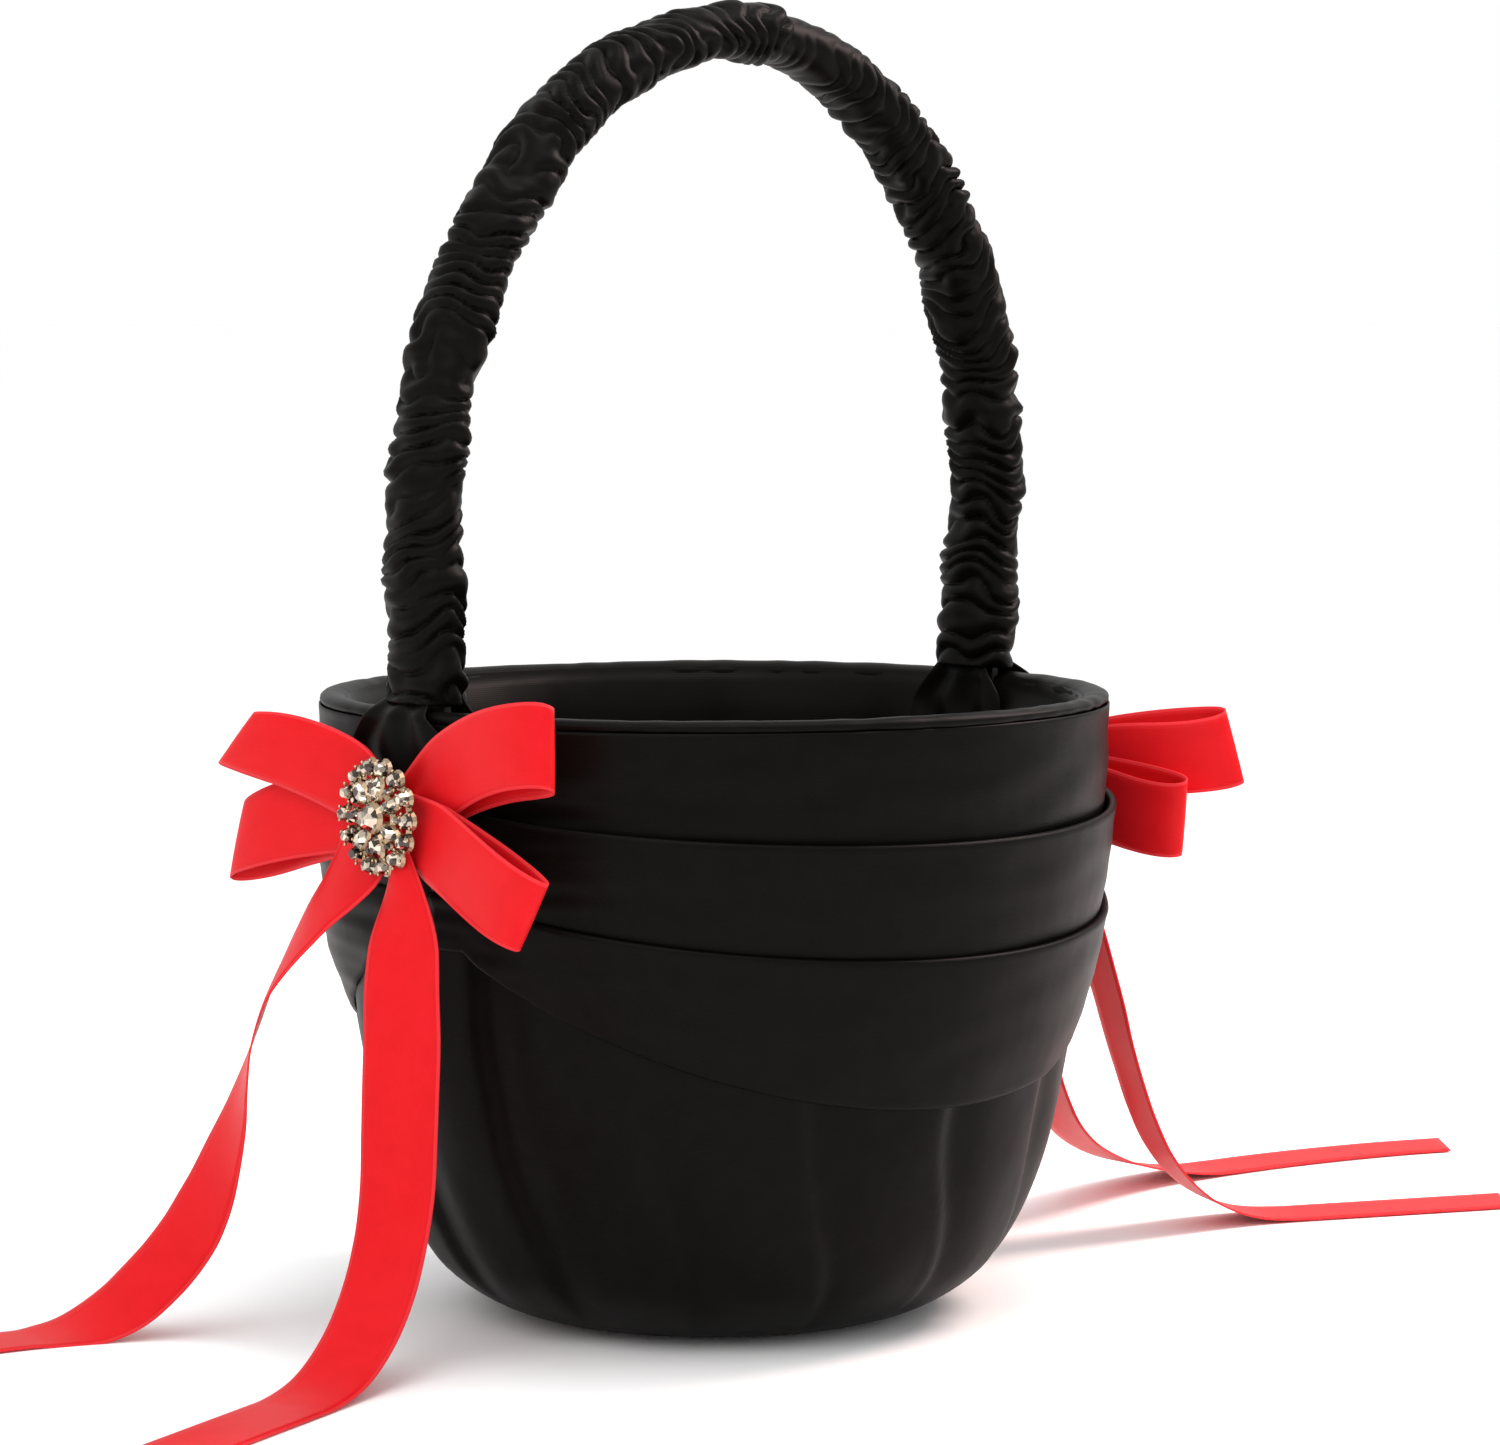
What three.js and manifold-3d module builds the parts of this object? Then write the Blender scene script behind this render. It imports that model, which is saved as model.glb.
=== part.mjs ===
// Flower girl basket: a moulded bucket dressed in pleated black satin, with a draped satin swag
// round its upper half, a satin-sleeved arch handle, and two red ribbon bows with stone brooches.
// Millimetres, +Z up. The origin is the centre of the underside, which rests on z = 0.
// The handle lies in the XZ plane, the near bow is on the -X side and the front swag faces -Y.

import * as THREE from 'three';
import { mergeVertices } from 'three/addons/utils/BufferGeometryUtils.js';
import Module from 'manifold-3d';

const wasm = await Module();
wasm.setup();

// ---- driving dimensions ----

const RIM_HEIGHT = 118.8;            // top of the rolled rim
const WALL_TOP = 116.5;              // top edges of the bucket, its cover and its lining
const CLOTH = 0.6;                   // thickness of one layer of satin
const GAP = 0.35;                    // air between layers that touch
const SIDES = 32;                    // facets round the bucket and its covers

const BUCKET_WALL = 1.6;
const COVER_CURVE = [                // [radius, height]: foot, its pull, the wall's pull, rim
  [33, 0.5], [66, 0.5], [68, 58], [73.6, WALL_TOP],
];
const COVER_STEPS = 12;
const BASE_DISC_RADIUS = 32.4;
const BASE_DISC_THICKNESS = 1.1;
const FLOOR_BOARD = { radius: 31, bottom: 3.5, thickness: 1.5 };
const FLOOR_PAD = { radius: 34, bottom: 7, thickness: 2 };
const LINING_ROOM = 3.3;             // space between bucket wall and lining, where the handle ends lie
const LINING_FLOOR = [[28, 5.5], [33, 5.7]];   // the lining's turned-in lower edge, [radius, height]

const LINING_DEPTH = CLOTH + GAP + BUCKET_WALL + LINING_ROOM;  // from the cover's outside
const RIM_INNER = 67.2;
const RIM_OUTER = 75.2;
const RIM_FLANK = 0.8;               // upright part of the rolled rim's two sides
const RIM_SHOULDER = [[0.9, 0.4], [2.6, 0]];   // its rounding, [in from the side, down from the top]

// A swag hangs from bow to bow in three pleats. Heights are at the bows, drops are to mid-swag.
const SWAG_HALF_ANGLE = 86;          // degrees from mid-swag to its end under a bow
const SWAG_DRAPE = 80;               // degrees from mid-swag to where its edges stop sagging
const SWAG_FLAT_STAND = 2.4;         // how far the gathered ends stand off the cover, under the bows
const SWAG_OPENING = 26;             // degrees over which the pleats open out of the gathering
const PLEAT_OVERLAP = 4;             // how far a pleat runs on behind the fold of the next one
const PLEAT_THICKNESS = 1.2;
const PLEAT_TUCKED_FROM = 0.75;      // share of the opening past which a pleat reaches behind the next
const SAG_FULLNESS = 0.8;            // below 1 makes the hanging curve fuller than a cosine
const SWAG_STEPS = 24;
const FOLD_LINES = [                 // [height at the bows, drop at mid-swag]
  [WALL_TOP - 0.1, 0], [101, 6], [85, 11], [76, 29],
];
const PLEAT_STAND = [                // how far each pleat stands off the cover: [lower edge, top fold]
  [2.4, 1.5], [3.0, 4.7], [1.8, 5.4],
];

const HANDLE_HALF_SPAN = 71.5;
const HANDLE_SPRING = 150;           // height where the legs run into the arch
const HANDLE_RISE = 93;              // from there to the crown
const HANDLE_LEAN = 5;               // the hand-bent arch leans this far towards +X at its crown
const HANDLE_FOOT = 86;              // lower end of the handle band, inside the wall
const ARCH_SHARE = 0.68;             // share of the handle line that is arch, the rest being legs
const FLAT_ROOM = 0.35;              // room for the flat band against the bucket's curved wall
const BAND_WIDTH = 12;
const BAND_THICKNESS = 1.5;
const SLEEVE_WIDTH = 17;             // across the band
const SLEEVE_DEPTH = 12;             // through the band
const SLEEVE_START = 119.5;          // height of the sleeve's lower end
const SLEEVE_MEETING = 0.035;        // where the two sleeves meet, just past the crown
const MEETING_GAP = 0.002;           // each sleeve stops this far short of the meeting
const HANDLE_STEPS = { band: 56, near: 26, far: 24 };
const HEM_HALF_WIDTH = [12, 9];      // lower and upper half width of a sleeve's flared hem
const HEM_BOTTOM = 112;
const HEM_TOP = 119.1;

const RIVET_HEIGHTS = [92, 104];
const RIVET_SHANK_RADIUS = 1.4;
const RIVET_HEAD_RADIUS = 2.8;
const RIVET_HEAD_THICKNESS = 0.4;
const RIVET_SIDES = 10;
const DRILL_REACH = [60, 80];        // radii between which a rivet hole is drilled, clear of the wall

const BOW_RADIUS = 76;               // plane of the bow's back, out from the axis
const BOW_OFFSET = 3.2;              // bows sit this far towards the front
const BOW_HEIGHT = { near: 100, far: 96 };
const RIBBON_WIDTH = 15;
const RIBBON_THICKNESS = 0.5;
const LOOP_SWELL = 6;                // how far an open loop swells from its middle line
const LOOP_SLIMNESS = 1.6;           // how late along its length a loop swells
const LOOP_MOUTH = 0.95;             // phase at which a loop's outside leaves the pinch, in radians
const HOLLOW_MOUTH = 1.35;           // phase at which its hollow starts
const HOLLOW_INSET = 0.6;            // from a loop's outside to its hollow
const HOLLOW_NARROWING = 1.5;        // the inset takes this much more from the swell
const LOOP_STEPS = 20;
const HOLLOW_STEPS = 16;
const STRIP_SLOPE = 16.5;            // degrees a strip of loops leans from level
const PINCH = 0.55;                  // half thickness where a strip is pinched at its middle
const BROOCH_BACK = [                // [radius, height] of the cast setting
  [0, 0], [11, 0], [11, 0.6], [6, 1.3], [3.6, 1.3], [0, 1.1],
];
const CENTRE_STONE = [[0, 1.7], [2.6, 1.7], [2.9, 2.6], [1.7, 3.8], [0, 3.8]];
const BROOCH_SIDES = { back: 20, centre: 12, ring: 18, ringTube: 6 };
const BROOCH_LIFT = 6.1;             // underside of the brooch above the bow's back
const STONE_RING_RADIUS = 9.2;
const STONE_RING_TUBE = 1.5;
const STONE_RING_SEAT = 1;           // height at which the ring of stones is seated

// Ribbon tails: [x, y, z, turn]. The turn, in degrees from -Y towards +X, points across the ribbon.
// Each falls from the knot, hangs, and runs out along the ground.
const TAILS = {
  near_front: [
    [-81, -5, 97, 0], [-81, -7, 92, 0], [-82, -9, 85, 8], [-83, -10, 77, 18],
    [-83.5, -10, 69, 25], [-83.5, -10, 60, 28], [-83.5, -9.5, 51, 28], [-83.5, -9, 42, 27],
    [-84, -9, 33, 25], [-86, -9.5, 24, 22], [-90, -11, 15.5, 22], [-96, -13, 8, 22],
    [-104.5, -16, 2.5, 22], [-115, -20, 0.5, 22], [-128, -25, 0.5, 22], [-141, -30, 0.5, 22],
    [-154, -35, 0.5, 22],
  ],
  near_back: [
    [-80.5, 2, 98, 0], [-81, 5, 92, 0], [-82.5, 9, 86.5, -8], [-85, 14, 80, -20],
    [-87, 19, 73, -32], [-88.5, 23, 66, -40], [-89.5, 26, 58, -40], [-90, 28.5, 50, -32],
    [-90.5, 31, 42, -20], [-91.5, 34, 34, -8], [-93, 37, 26, 2], [-95, 41, 18.5, 8],
    [-98.5, 45.5, 11.5, 12], [-103.5, 50, 5.5, 15], [-110, 54, 1.8, 17], [-118, 57, 0.5, 18],
    [-127, 59, 0.5, 18], [-137, 60, 0.5, 18],
  ],
  far_front: [
    [80.5, -5, 94, 180], [81, -7, 88, 178], [82.5, -9.5, 82, 172], [85.5, -11.5, 75, 166],
    [89, -12.5, 67.5, 162], [92.5, -12.5, 59.5, 160], [96, -12.5, 51, 158], [99.5, -12, 42.5, 156],
    [103.5, -11.5, 34, 155], [108, -11, 25.5, 155], [113.5, -10.5, 17.5, 155], [120.5, -10.5, 10.5, 155],
    [129, -11, 5, 155], [138.5, -13, 1.5, 155], [149, -17, 0.5, 155], [160, -22, 0.5, 155],
    [171, -27, 0.5, 155], [182, -32, 0.5, 155], [193, -37, 0.5, 155],
  ],
  far_back: [
    [80.5, 1, 94, 180], [81, 3, 88, 178], [83, 5, 82, 172], [85.5, 6, 75, 165],
    [88, 6.5, 67.5, 160], [90.5, 7, 60, 157], [93.5, 8, 52, 155], [96.5, 9, 44.5, 155],
    [100.5, 10.5, 37, 155], [105, 12.5, 29.5, 157], [111, 15.5, 22.5, 160], [119, 19.5, 16.5, 165],
    [129, 24, 11.5, 170], [141, 28, 7, 174], [154, 30.5, 3.5, 177], [168, 31, 1, 177],
    [182, 30, 0.5, 174], [196, 28, 0.5, 170], [210, 25, 0.5, 167], [224, 21, 0.5, 163],
    [237, 16, 0.5, 159],
  ],
};
const TAIL_LOWEST = 0.5;             // the middle of a tail stays this far above the ground
const TAIL_STEPS = 44;
const TAIL_GATHERED_WIDTH = 4;       // a tail's width where it leaves the knot
const TAIL_OPENING = 0.13;           // part of its length in which it opens to full width
const TAIL_END_SLANT = 5;            // how much further one edge of its cut end reaches than the other

// ---- materials ----

const FINISHES = {
  satinBlack: { color: 0x1a1815, roughness: 0.42, metalness: 0 },
  satinRed: { color: 0xee2a2e, roughness: 0.4, metalness: 0 },
  bucketPlastic: { color: 0x2b2a28, roughness: 0.55, metalness: 0 },
  board: { color: 0x8a7a63, roughness: 0.9, metalness: 0 },
  bandPlastic: { color: 0x24221f, roughness: 0.5, metalness: 0 },
  rivetAluminium: { color: 0xb9bbbd, roughness: 0.35, metalness: 1 },
  broochMetal: { color: 0xcfc3ae, roughness: 0.25, metalness: 1 },
  crystal: { color: 0xf3eee6, roughness: 0.05, metalness: 0 },
};

const basket = new THREE.Group();

function addMesh(name, geometry, finish, parent = basket) {
  const mesh = new THREE.Mesh(geometry, new THREE.MeshStandardMaterial(FINISHES[finish]));
  mesh.name = name;
  parent.add(mesh);
  return mesh;
}

// ---- shared geometry ----

const lerp = THREE.MathUtils.lerp;

// Moves a profile's points inwards by a distance, each along the mean normal of its two sides.
function insetProfile(profile, distance) {
  return profile.map((point, i) => {
    const before = profile[Math.max(i - 1, 0)];
    const after = profile[Math.min(i + 1, profile.length - 1)];
    const run = new THREE.Vector2(after[0] - before[0], after[1] - before[1]).normalize();
    const z = i === profile.length - 1 ? point[1] : point[1] + run.x * distance;
    return [point[0] - run.y * distance, z];
  });
}

// Turns a closed outline of [radius, height] points about the Z axis.
function turned(outline, sides = SIDES) {
  const points = outline.map(([radius, height]) => new THREE.Vector2(radius, height));
  const closed = outline[0][0] > 0 ? [...points, points[0].clone()] : points;
  return new THREE.LatheGeometry(closed, sides).rotateX(Math.PI / 2);
}

// [radius, height] up the outside of the satin cover.
const coverProfile = new THREE.CubicBezierCurve(
  ...COVER_CURVE.map(([radius, height]) => new THREE.Vector2(radius, height)))
  .getPoints(COVER_STEPS).map(({ x, y }) => [x, y]);

// Radius of the satin cover at a height.
function coverRadius(height) {
  const above = coverProfile.findIndex(([, z]) => z >= height);
  if (above <= 0) return coverProfile[above === 0 ? 0 : coverProfile.length - 1][0];
  const [r0, z0] = coverProfile[above - 1];
  const [r1, z1] = coverProfile[above];
  return lerp(r0, r1, (height - z0) / (z1 - z0));
}

// Bends a block of unit size: place(u, v, w) gives each of its points, u along, v across, w through.
function bentBlock(along, across, place) {
  const geometry = new THREE.BoxGeometry(1, 1, 1, along, across, 1).translate(0.5, 0.5, 0.5);
  const position = geometry.attributes.position;
  for (let i = 0; i < position.count; i += 1) {
    const point = place(position.getX(i), position.getY(i), position.getZ(i));
    position.setXYZ(i, point.x, point.y, point.z);
  }
  geometry.computeVertexNormals();
  return geometry;
}

// A point on the wall: the angle is measured from the front (-Y) towards +X.
function onWall(angle, radius, height) {
  return new THREE.Vector3(radius * Math.sin(angle), -radius * Math.cos(angle), height);
}

function toSolid(geometry) {
  const bare = geometry.clone();
  bare.deleteAttribute('normal');
  bare.deleteAttribute('uv');
  const merged = mergeVertices(bare, 1e-4);
  return new wasm.Manifold(new wasm.Mesh({
    numProp: 3,
    vertProperties: new Float32Array(merged.attributes.position.array),
    triVerts: new Uint32Array(merged.index.array),
  }));
}

function toGeometry(solid) {
  const mesh = solid.getMesh();
  const geometry = new THREE.BufferGeometry();
  geometry.setAttribute('position', new THREE.BufferAttribute(mesh.vertProperties, 3));
  geometry.setIndex(new THREE.BufferAttribute(mesh.triVerts, 1));
  geometry.computeVertexNormals();
  return geometry;
}

function cut(geometry, tools) {
  let solid = toSolid(geometry);
  for (const tool of tools) solid = solid.subtract(toSolid(tool));
  return toGeometry(solid);
}

// ---- handle line ----

// Radius of the band's middle line inside the wall, where the band follows the bucket.
function footRadius(height) {
  return coverRadius(Math.min(height, WALL_TOP)) - CLOTH - BUCKET_WALL - 2 * GAP
    - BAND_THICKNESS / 2 - FLAT_ROOM;
}

// The middle line of the handle band. s runs from -1 at the near foot, through 0 at the crown,
// to 1 at the far foot.
class HandleLine extends THREE.Curve {
  constructor(from, to) {
    super();
    this.from = from;
    this.to = to;
  }

  getPoint(t, target = new THREE.Vector3()) {
    const s = lerp(this.from, this.to, t);
    const reach = Math.abs(s);
    const turn = (Math.PI / 2) * Math.min(reach / ARCH_SHARE, 1);
    let x = HANDLE_HALF_SPAN * Math.sin(turn);
    let z = HANDLE_SPRING + HANDLE_RISE * Math.cos(turn);
    if (reach > ARCH_SHARE) {
      z = lerp(HANDLE_SPRING, HANDLE_FOOT, (reach - ARCH_SHARE) / (1 - ARCH_SHARE));
      x = lerp(footRadius(z), HANDLE_HALF_SPAN,
        THREE.MathUtils.smoothstep(z, SLEEVE_START, HANDLE_SPRING));
    }
    const lean = HANDLE_LEAN * Math.max(z - SLEEVE_START, 0)
      / (HANDLE_SPRING + HANDLE_RISE - SLEEVE_START);
    return target.set(Math.sign(s) * x + lean, 0, z);
  }
}

// The leg's share of the handle line at a height below the arch.
function legShare(height) {
  return ARCH_SHARE + (1 - ARCH_SHARE) * (HANDLE_SPRING - height) / (HANDLE_SPRING - HANDLE_FOOT);
}

function alongHandle(shape, from, to, steps) {
  return new THREE.ExtrudeGeometry(shape, {
    steps, bevelEnabled: false, curveSegments: 4, extrudePath: new HandleLine(from, to),
  });
}

function rectangle(width, height) {
  const shape = new THREE.Shape();
  shape.moveTo(-width / 2, -height / 2);
  shape.lineTo(width / 2, -height / 2);
  shape.lineTo(width / 2, height / 2);
  shape.lineTo(-width / 2, height / 2);
  shape.closePath();
  return shape;
}

// ---- the bucket and what lines and covers it ----

const legSides = { near: -1, far: 1 };

// The four rivet holes, two at each foot of the handle.
function rivetDrills() {
  const [from, to] = DRILL_REACH;
  const radius = RIVET_SHANK_RADIUS + GAP;
  return Object.values(legSides).flatMap((side) => RIVET_HEIGHTS.map((height) => (
    new THREE.CylinderGeometry(radius, radius, to - from, RIVET_SIDES)
      .rotateZ(Math.PI / 2).translate((side * (from + to)) / 2, 0, height))));
}

const bucketOuter = insetProfile(coverProfile, CLOTH + GAP);
const bucketInner = insetProfile(coverProfile, CLOTH + GAP + BUCKET_WALL);
const liningOuter = [...LINING_FLOOR, ...insetProfile(coverProfile, LINING_DEPTH).slice(1)];

function bucketCore() {
  const outline = [[0, bucketOuter[0][1]], ...bucketOuter,
    ...bucketInner.slice().reverse(), [0, bucketInner[0][1]]];
  addMesh('bucket_core', cut(turned(outline), rivetDrills()), 'bucketPlastic');
}

function coversAndLining() {
  const coverInner = insetProfile(coverProfile, CLOTH);
  addMesh('body_cover', turned([...coverProfile, ...coverInner.reverse()]), 'satinBlack');
  const liningInner = insetProfile(liningOuter, CLOTH);
  addMesh('lining_wall', turned([...liningOuter, ...liningInner.reverse()]), 'satinBlack');
}

function disc(name, radius, bottom, thickness, finish) {
  const top = bottom + thickness;
  addMesh(name, turned([[0, bottom], [radius, bottom], [radius, top], [0, top]]), finish);
}

// The rolled edge caps bucket, cover and lining, and is notched where the handle band passes.
function rimBinding() {
  const under = WALL_TOP + GAP;
  const flank = (radius, inwards) => [
    [radius, under], [radius, under + RIM_FLANK],
    ...RIM_SHOULDER.map(([across, down]) => [radius + inwards * across, RIM_HEIGHT - down]),
  ];
  const outline = [...flank(RIM_OUTER, -1), ...flank(RIM_INNER, 1).reverse()];
  const notchHeight = 2 * (RIM_HEIGHT - WALL_TOP);
  const notches = Object.values(legSides).map((side) => (
    new THREE.BoxGeometry(BAND_THICKNESS + 4 * GAP, BAND_WIDTH + 2 * GAP, notchHeight)
      .translate(side * footRadius(RIM_HEIGHT), 0, RIM_HEIGHT)));
  addMesh('rim_binding', cut(turned(outline), notches), 'satinBlack');
}

// ---- the swag ----

// How far the swag has sagged at an angle from its middle, 1 at the middle and 0 at the bows.
function sag(angle) {
  const share = Math.min(Math.abs(angle) / THREE.MathUtils.degToRad(SWAG_DRAPE), 1);
  return Math.pow(Math.cos((Math.PI / 2) * share), SAG_FULLNESS);
}

function foldHeight(line, angle) {
  const [atBow, drop] = FOLD_LINES[line];
  return atBow - drop * sag(angle);
}

function swag(name, facing) {
  const half = THREE.MathUtils.degToRad(SWAG_HALF_ANGLE);
  ['upper', 'middle', 'lower'].forEach((pleat, line) => {
    const [lowStand, foldStand] = PLEAT_STAND[line];
    const geometry = bentBlock(SWAG_STEPS, 2, (u, v, w) => {
      const angle = lerp(-half, half, u);
      const fromEnd = THREE.MathUtils.radToDeg(half - Math.abs(angle));
      const open = THREE.MathUtils.smoothstep(fromEnd, 0, SWAG_OPENING);
      const tucked = lerp(-GAP, PLEAT_OVERLAP,
        THREE.MathUtils.smoothstep(open, PLEAT_TUCKED_FROM, 1));
      const top = foldHeight(line, angle);
      const bottom = foldHeight(line + 1, angle) - (line < 2 ? tucked : 0);
      const height = lerp(bottom, top, v);
      const stand = lerp(SWAG_FLAT_STAND, lerp(lowStand, foldStand, v), open);
      return onWall(angle, coverRadius(height) + stand - PLEAT_THICKNESS * (1 - w), height);
    });
    addMesh(`${name}_swag_${pleat}`, geometry.rotateZ(facing), 'satinBlack');
  });
}

// ---- the handle ----

function handle() {
  // On this path a shape's x lies across the band, along Y, and its y lies through it.
  const band = alongHandle(rectangle(BAND_WIDTH, BAND_THICKNESS), -1, 1, HANDLE_STEPS.band);
  addMesh('handle_band', cut(band, rivetDrills()), 'bandPlastic');

  const section = new THREE.Shape();
  section.absellipse(0, 0, SLEEVE_WIDTH / 2, SLEEVE_DEPTH / 2, 0, Math.PI * 2);
  section.holes.push(rectangle(BAND_WIDTH + 3 * GAP, BAND_THICKNESS + 4 * GAP));
  const start = legShare(SLEEVE_START);
  addMesh('handle_sleeve_near',
    alongHandle(section, -start, SLEEVE_MEETING - MEETING_GAP, HANDLE_STEPS.near), 'satinBlack');
  addMesh('handle_sleeve_far',
    alongHandle(section, SLEEVE_MEETING + MEETING_GAP, start, HANDLE_STEPS.far), 'satinBlack');
}

// The sleeve's end is split and flared over the rim, one flap outside and one inside.
function sleeveHem(name, side, stand) {
  const geometry = bentBlock(6, 3, (u, v, w) => {
    const halfWidth = lerp(HEM_HALF_WIDTH[0], HEM_HALF_WIDTH[1], v);
    const height = lerp(HEM_BOTTOM, HEM_TOP, v);
    const radius = coverRadius(Math.min(height, WALL_TOP)) + stand;
    return onWall((lerp(-1, 1, u) * halfWidth) / radius, radius + CLOTH * w, height);
  });
  addMesh(name, geometry.rotateZ(side * Math.PI / 2), 'satinBlack');
}

function rivets() {
  for (const [name, side] of Object.entries(legSides)) {
    RIVET_HEIGHTS.forEach((height, i) => {
      const bore = footRadius(height) - BAND_THICKNESS / 2;
      const inside = bore - GAP;
      const outside = coverRadius(height) - CLOTH - 2 * GAP;
      const head = inside - RIVET_HEAD_THICKNESS;
      const profile = [[0, head], [RIVET_HEAD_RADIUS, head], [RIVET_HEAD_RADIUS, inside],
        [RIVET_SHANK_RADIUS, inside], [RIVET_SHANK_RADIUS, outside], [0, outside]];
      const points = profile.map(([radius, along]) => new THREE.Vector2(radius, along));
      const rivet = new THREE.LatheGeometry(points, RIVET_SIDES).rotateZ(-side * Math.PI / 2);
      addMesh(`handle_rivet_${name}_${i + 1}`, rivet.translate(0, 0, height), 'rivetAluminium');
    });
  }
}

// ---- the bows ----

// Outline of one open loop lying along +x: a drop that starts at the knot and is blunt at its end.
function loopOutline(from, to, steps, { length, tilt }, inset = 0) {
  const points = [];
  for (let i = 0; i <= steps; i += 1) {
    const phase = lerp(from, to, i / steps);
    const reach = (1 - Math.cos(phase)) / 2;
    const x = (length - inset) * reach;
    const y = (LOOP_SWELL - HOLLOW_NARROWING * inset) * Math.sin(phase) * Math.pow(reach, LOOP_SLIMNESS);
    points.push(new THREE.Vector2(x, y).rotateAround(new THREE.Vector2(), tilt));
  }
  return points;
}

// A strip of ribbon folded into two loops and pinched in the middle, seen along its width.
function stripShape(loops) {
  const side = (loop, sign) => loopOutline(2 * Math.PI - LOOP_MOUTH, LOOP_MOUTH, LOOP_STEPS, loop)
    .map((point) => new THREE.Vector2(sign * point.x, point.y));
  const right = side(loops[0], 1);
  const left = side(loops[1], -1).reverse();
  const shape = new THREE.Shape([
    new THREE.Vector2(0, -PINCH), ...right, new THREE.Vector2(0, PINCH), ...left,
  ]);
  [1, -1].forEach((sign, i) => {
    const hollow = loopOutline(
      HOLLOW_MOUTH, 2 * Math.PI - HOLLOW_MOUTH, HOLLOW_STEPS, loops[i], HOLLOW_INSET)
      .map((point) => new THREE.Vector2(sign * point.x, point.y));
    shape.holes.push(new THREE.Path(hollow));
  });
  return shape;
}

function bow(name, side, height, loops) {
  const turn = new THREE.Group();
  turn.rotation.z = side * Math.PI / 2;
  basket.add(turn);
  const face = new THREE.Group();      // x along the wall, y up, z out from the wall
  face.position.set(-side * BOW_OFFSET, -BOW_RADIUS, height);
  face.rotation.x = Math.PI / 2;
  turn.add(face);

  [['rising', 1, PINCH + GAP], ['falling', -1, 3 * (PINCH + GAP)]].forEach(([slope, sign, lift], i) => {
    const strip = new THREE.Group();
    strip.position.z = lift;
    strip.rotation.z = THREE.MathUtils.degToRad(sign * STRIP_SLOPE);
    face.add(strip);
    const geometry = new THREE.ExtrudeGeometry(stripShape(loops[i]), {
      depth: RIBBON_WIDTH, steps: 1, bevelEnabled: false,
    }).translate(0, 0, -RIBBON_WIDTH / 2);
    const mesh = addMesh(`bow_${name}_strip_${slope}`, geometry, 'satinRed', strip);
    mesh.rotation.x = Math.PI / 2;
  });

  const brooch = new THREE.Group();
  brooch.position.z = BROOCH_LIFT;
  face.add(brooch);
  addMesh(`brooch_${name}_setting`, turned(BROOCH_BACK, BROOCH_SIDES.back), 'broochMetal', brooch);
  const ring = new THREE.TorusGeometry(
    STONE_RING_RADIUS, STONE_RING_TUBE, BROOCH_SIDES.ringTube, BROOCH_SIDES.ring);
  ring.translate(0, 0, STONE_RING_SEAT + GAP + STONE_RING_TUBE);
  addMesh(`brooch_${name}_stone_ring`, ring, 'crystal', brooch);
  const stone = turned(CENTRE_STONE, BROOCH_SIDES.centre);
  addMesh(`brooch_${name}_centre_stone`, stone, 'crystal', brooch);
}

function tail(name, route) {
  const smooth = (points) => new THREE.CatmullRomCurve3(points, false, 'catmullrom');
  const line = smooth(route.map(([x, y, z]) => new THREE.Vector3(x, y, z)));
  const turns = smooth(route.map(([, , , turn]) => new THREE.Vector3(turn, 0, 0)));
  const geometry = bentBlock(TAIL_STEPS, 1, (u, v, w) => {
    const t = line.getUtoTmapping(u);
    const tangent = line.getTangent(t);
    const turn = THREE.MathUtils.degToRad(turns.getPoint(t).x);
    const lie = new THREE.Vector3(Math.sin(turn), -Math.cos(turn), 0);
    const across = lie.addScaledVector(tangent, -lie.dot(tangent)).normalize();
    const through = new THREE.Vector3().crossVectors(tangent, across);
    const opened = THREE.MathUtils.smoothstep(u, 0, TAIL_OPENING);
    const width = lerp(TAIL_GATHERED_WIDTH, RIBBON_WIDTH, opened);
    const atEnd = Math.max(u - 1 + 1 / TAIL_STEPS, 0) * TAIL_STEPS;
    const slant = atEnd * (v - 0.5) * TAIL_END_SLANT;
    const middle = line.getPoint(t);
    return middle.setZ(Math.max(middle.z, TAIL_LOWEST))
      .addScaledVector(across, (v - 0.5) * width)
      .addScaledVector(through, (w - 0.5) * RIBBON_THICKNESS)
      .addScaledVector(tangent, slant);
  });
  addMesh(`tail_${name}`, geometry, 'satinRed');
}

// ---- assembly ----

disc('base_disc', BASE_DISC_RADIUS, 0, BASE_DISC_THICKNESS, 'board');
bucketCore();
coversAndLining();
disc('floor_board', FLOOR_BOARD.radius, FLOOR_BOARD.bottom, FLOOR_BOARD.thickness, 'board');
disc('floor_pad', FLOOR_PAD.radius, FLOOR_PAD.bottom, FLOOR_PAD.thickness, 'satinBlack');
rimBinding();
swag('front', 0);
swag('back', Math.PI);
handle();
for (const [name, side] of Object.entries(legSides)) {
  sleeveHem(`sleeve_hem_${name}_outside`, side, SWAG_FLAT_STAND + GAP);
  sleeveHem(`sleeve_hem_${name}_inside`, side, -(LINING_DEPTH + 2 * CLOTH + 2 * GAP));
}
rivets();
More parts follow.
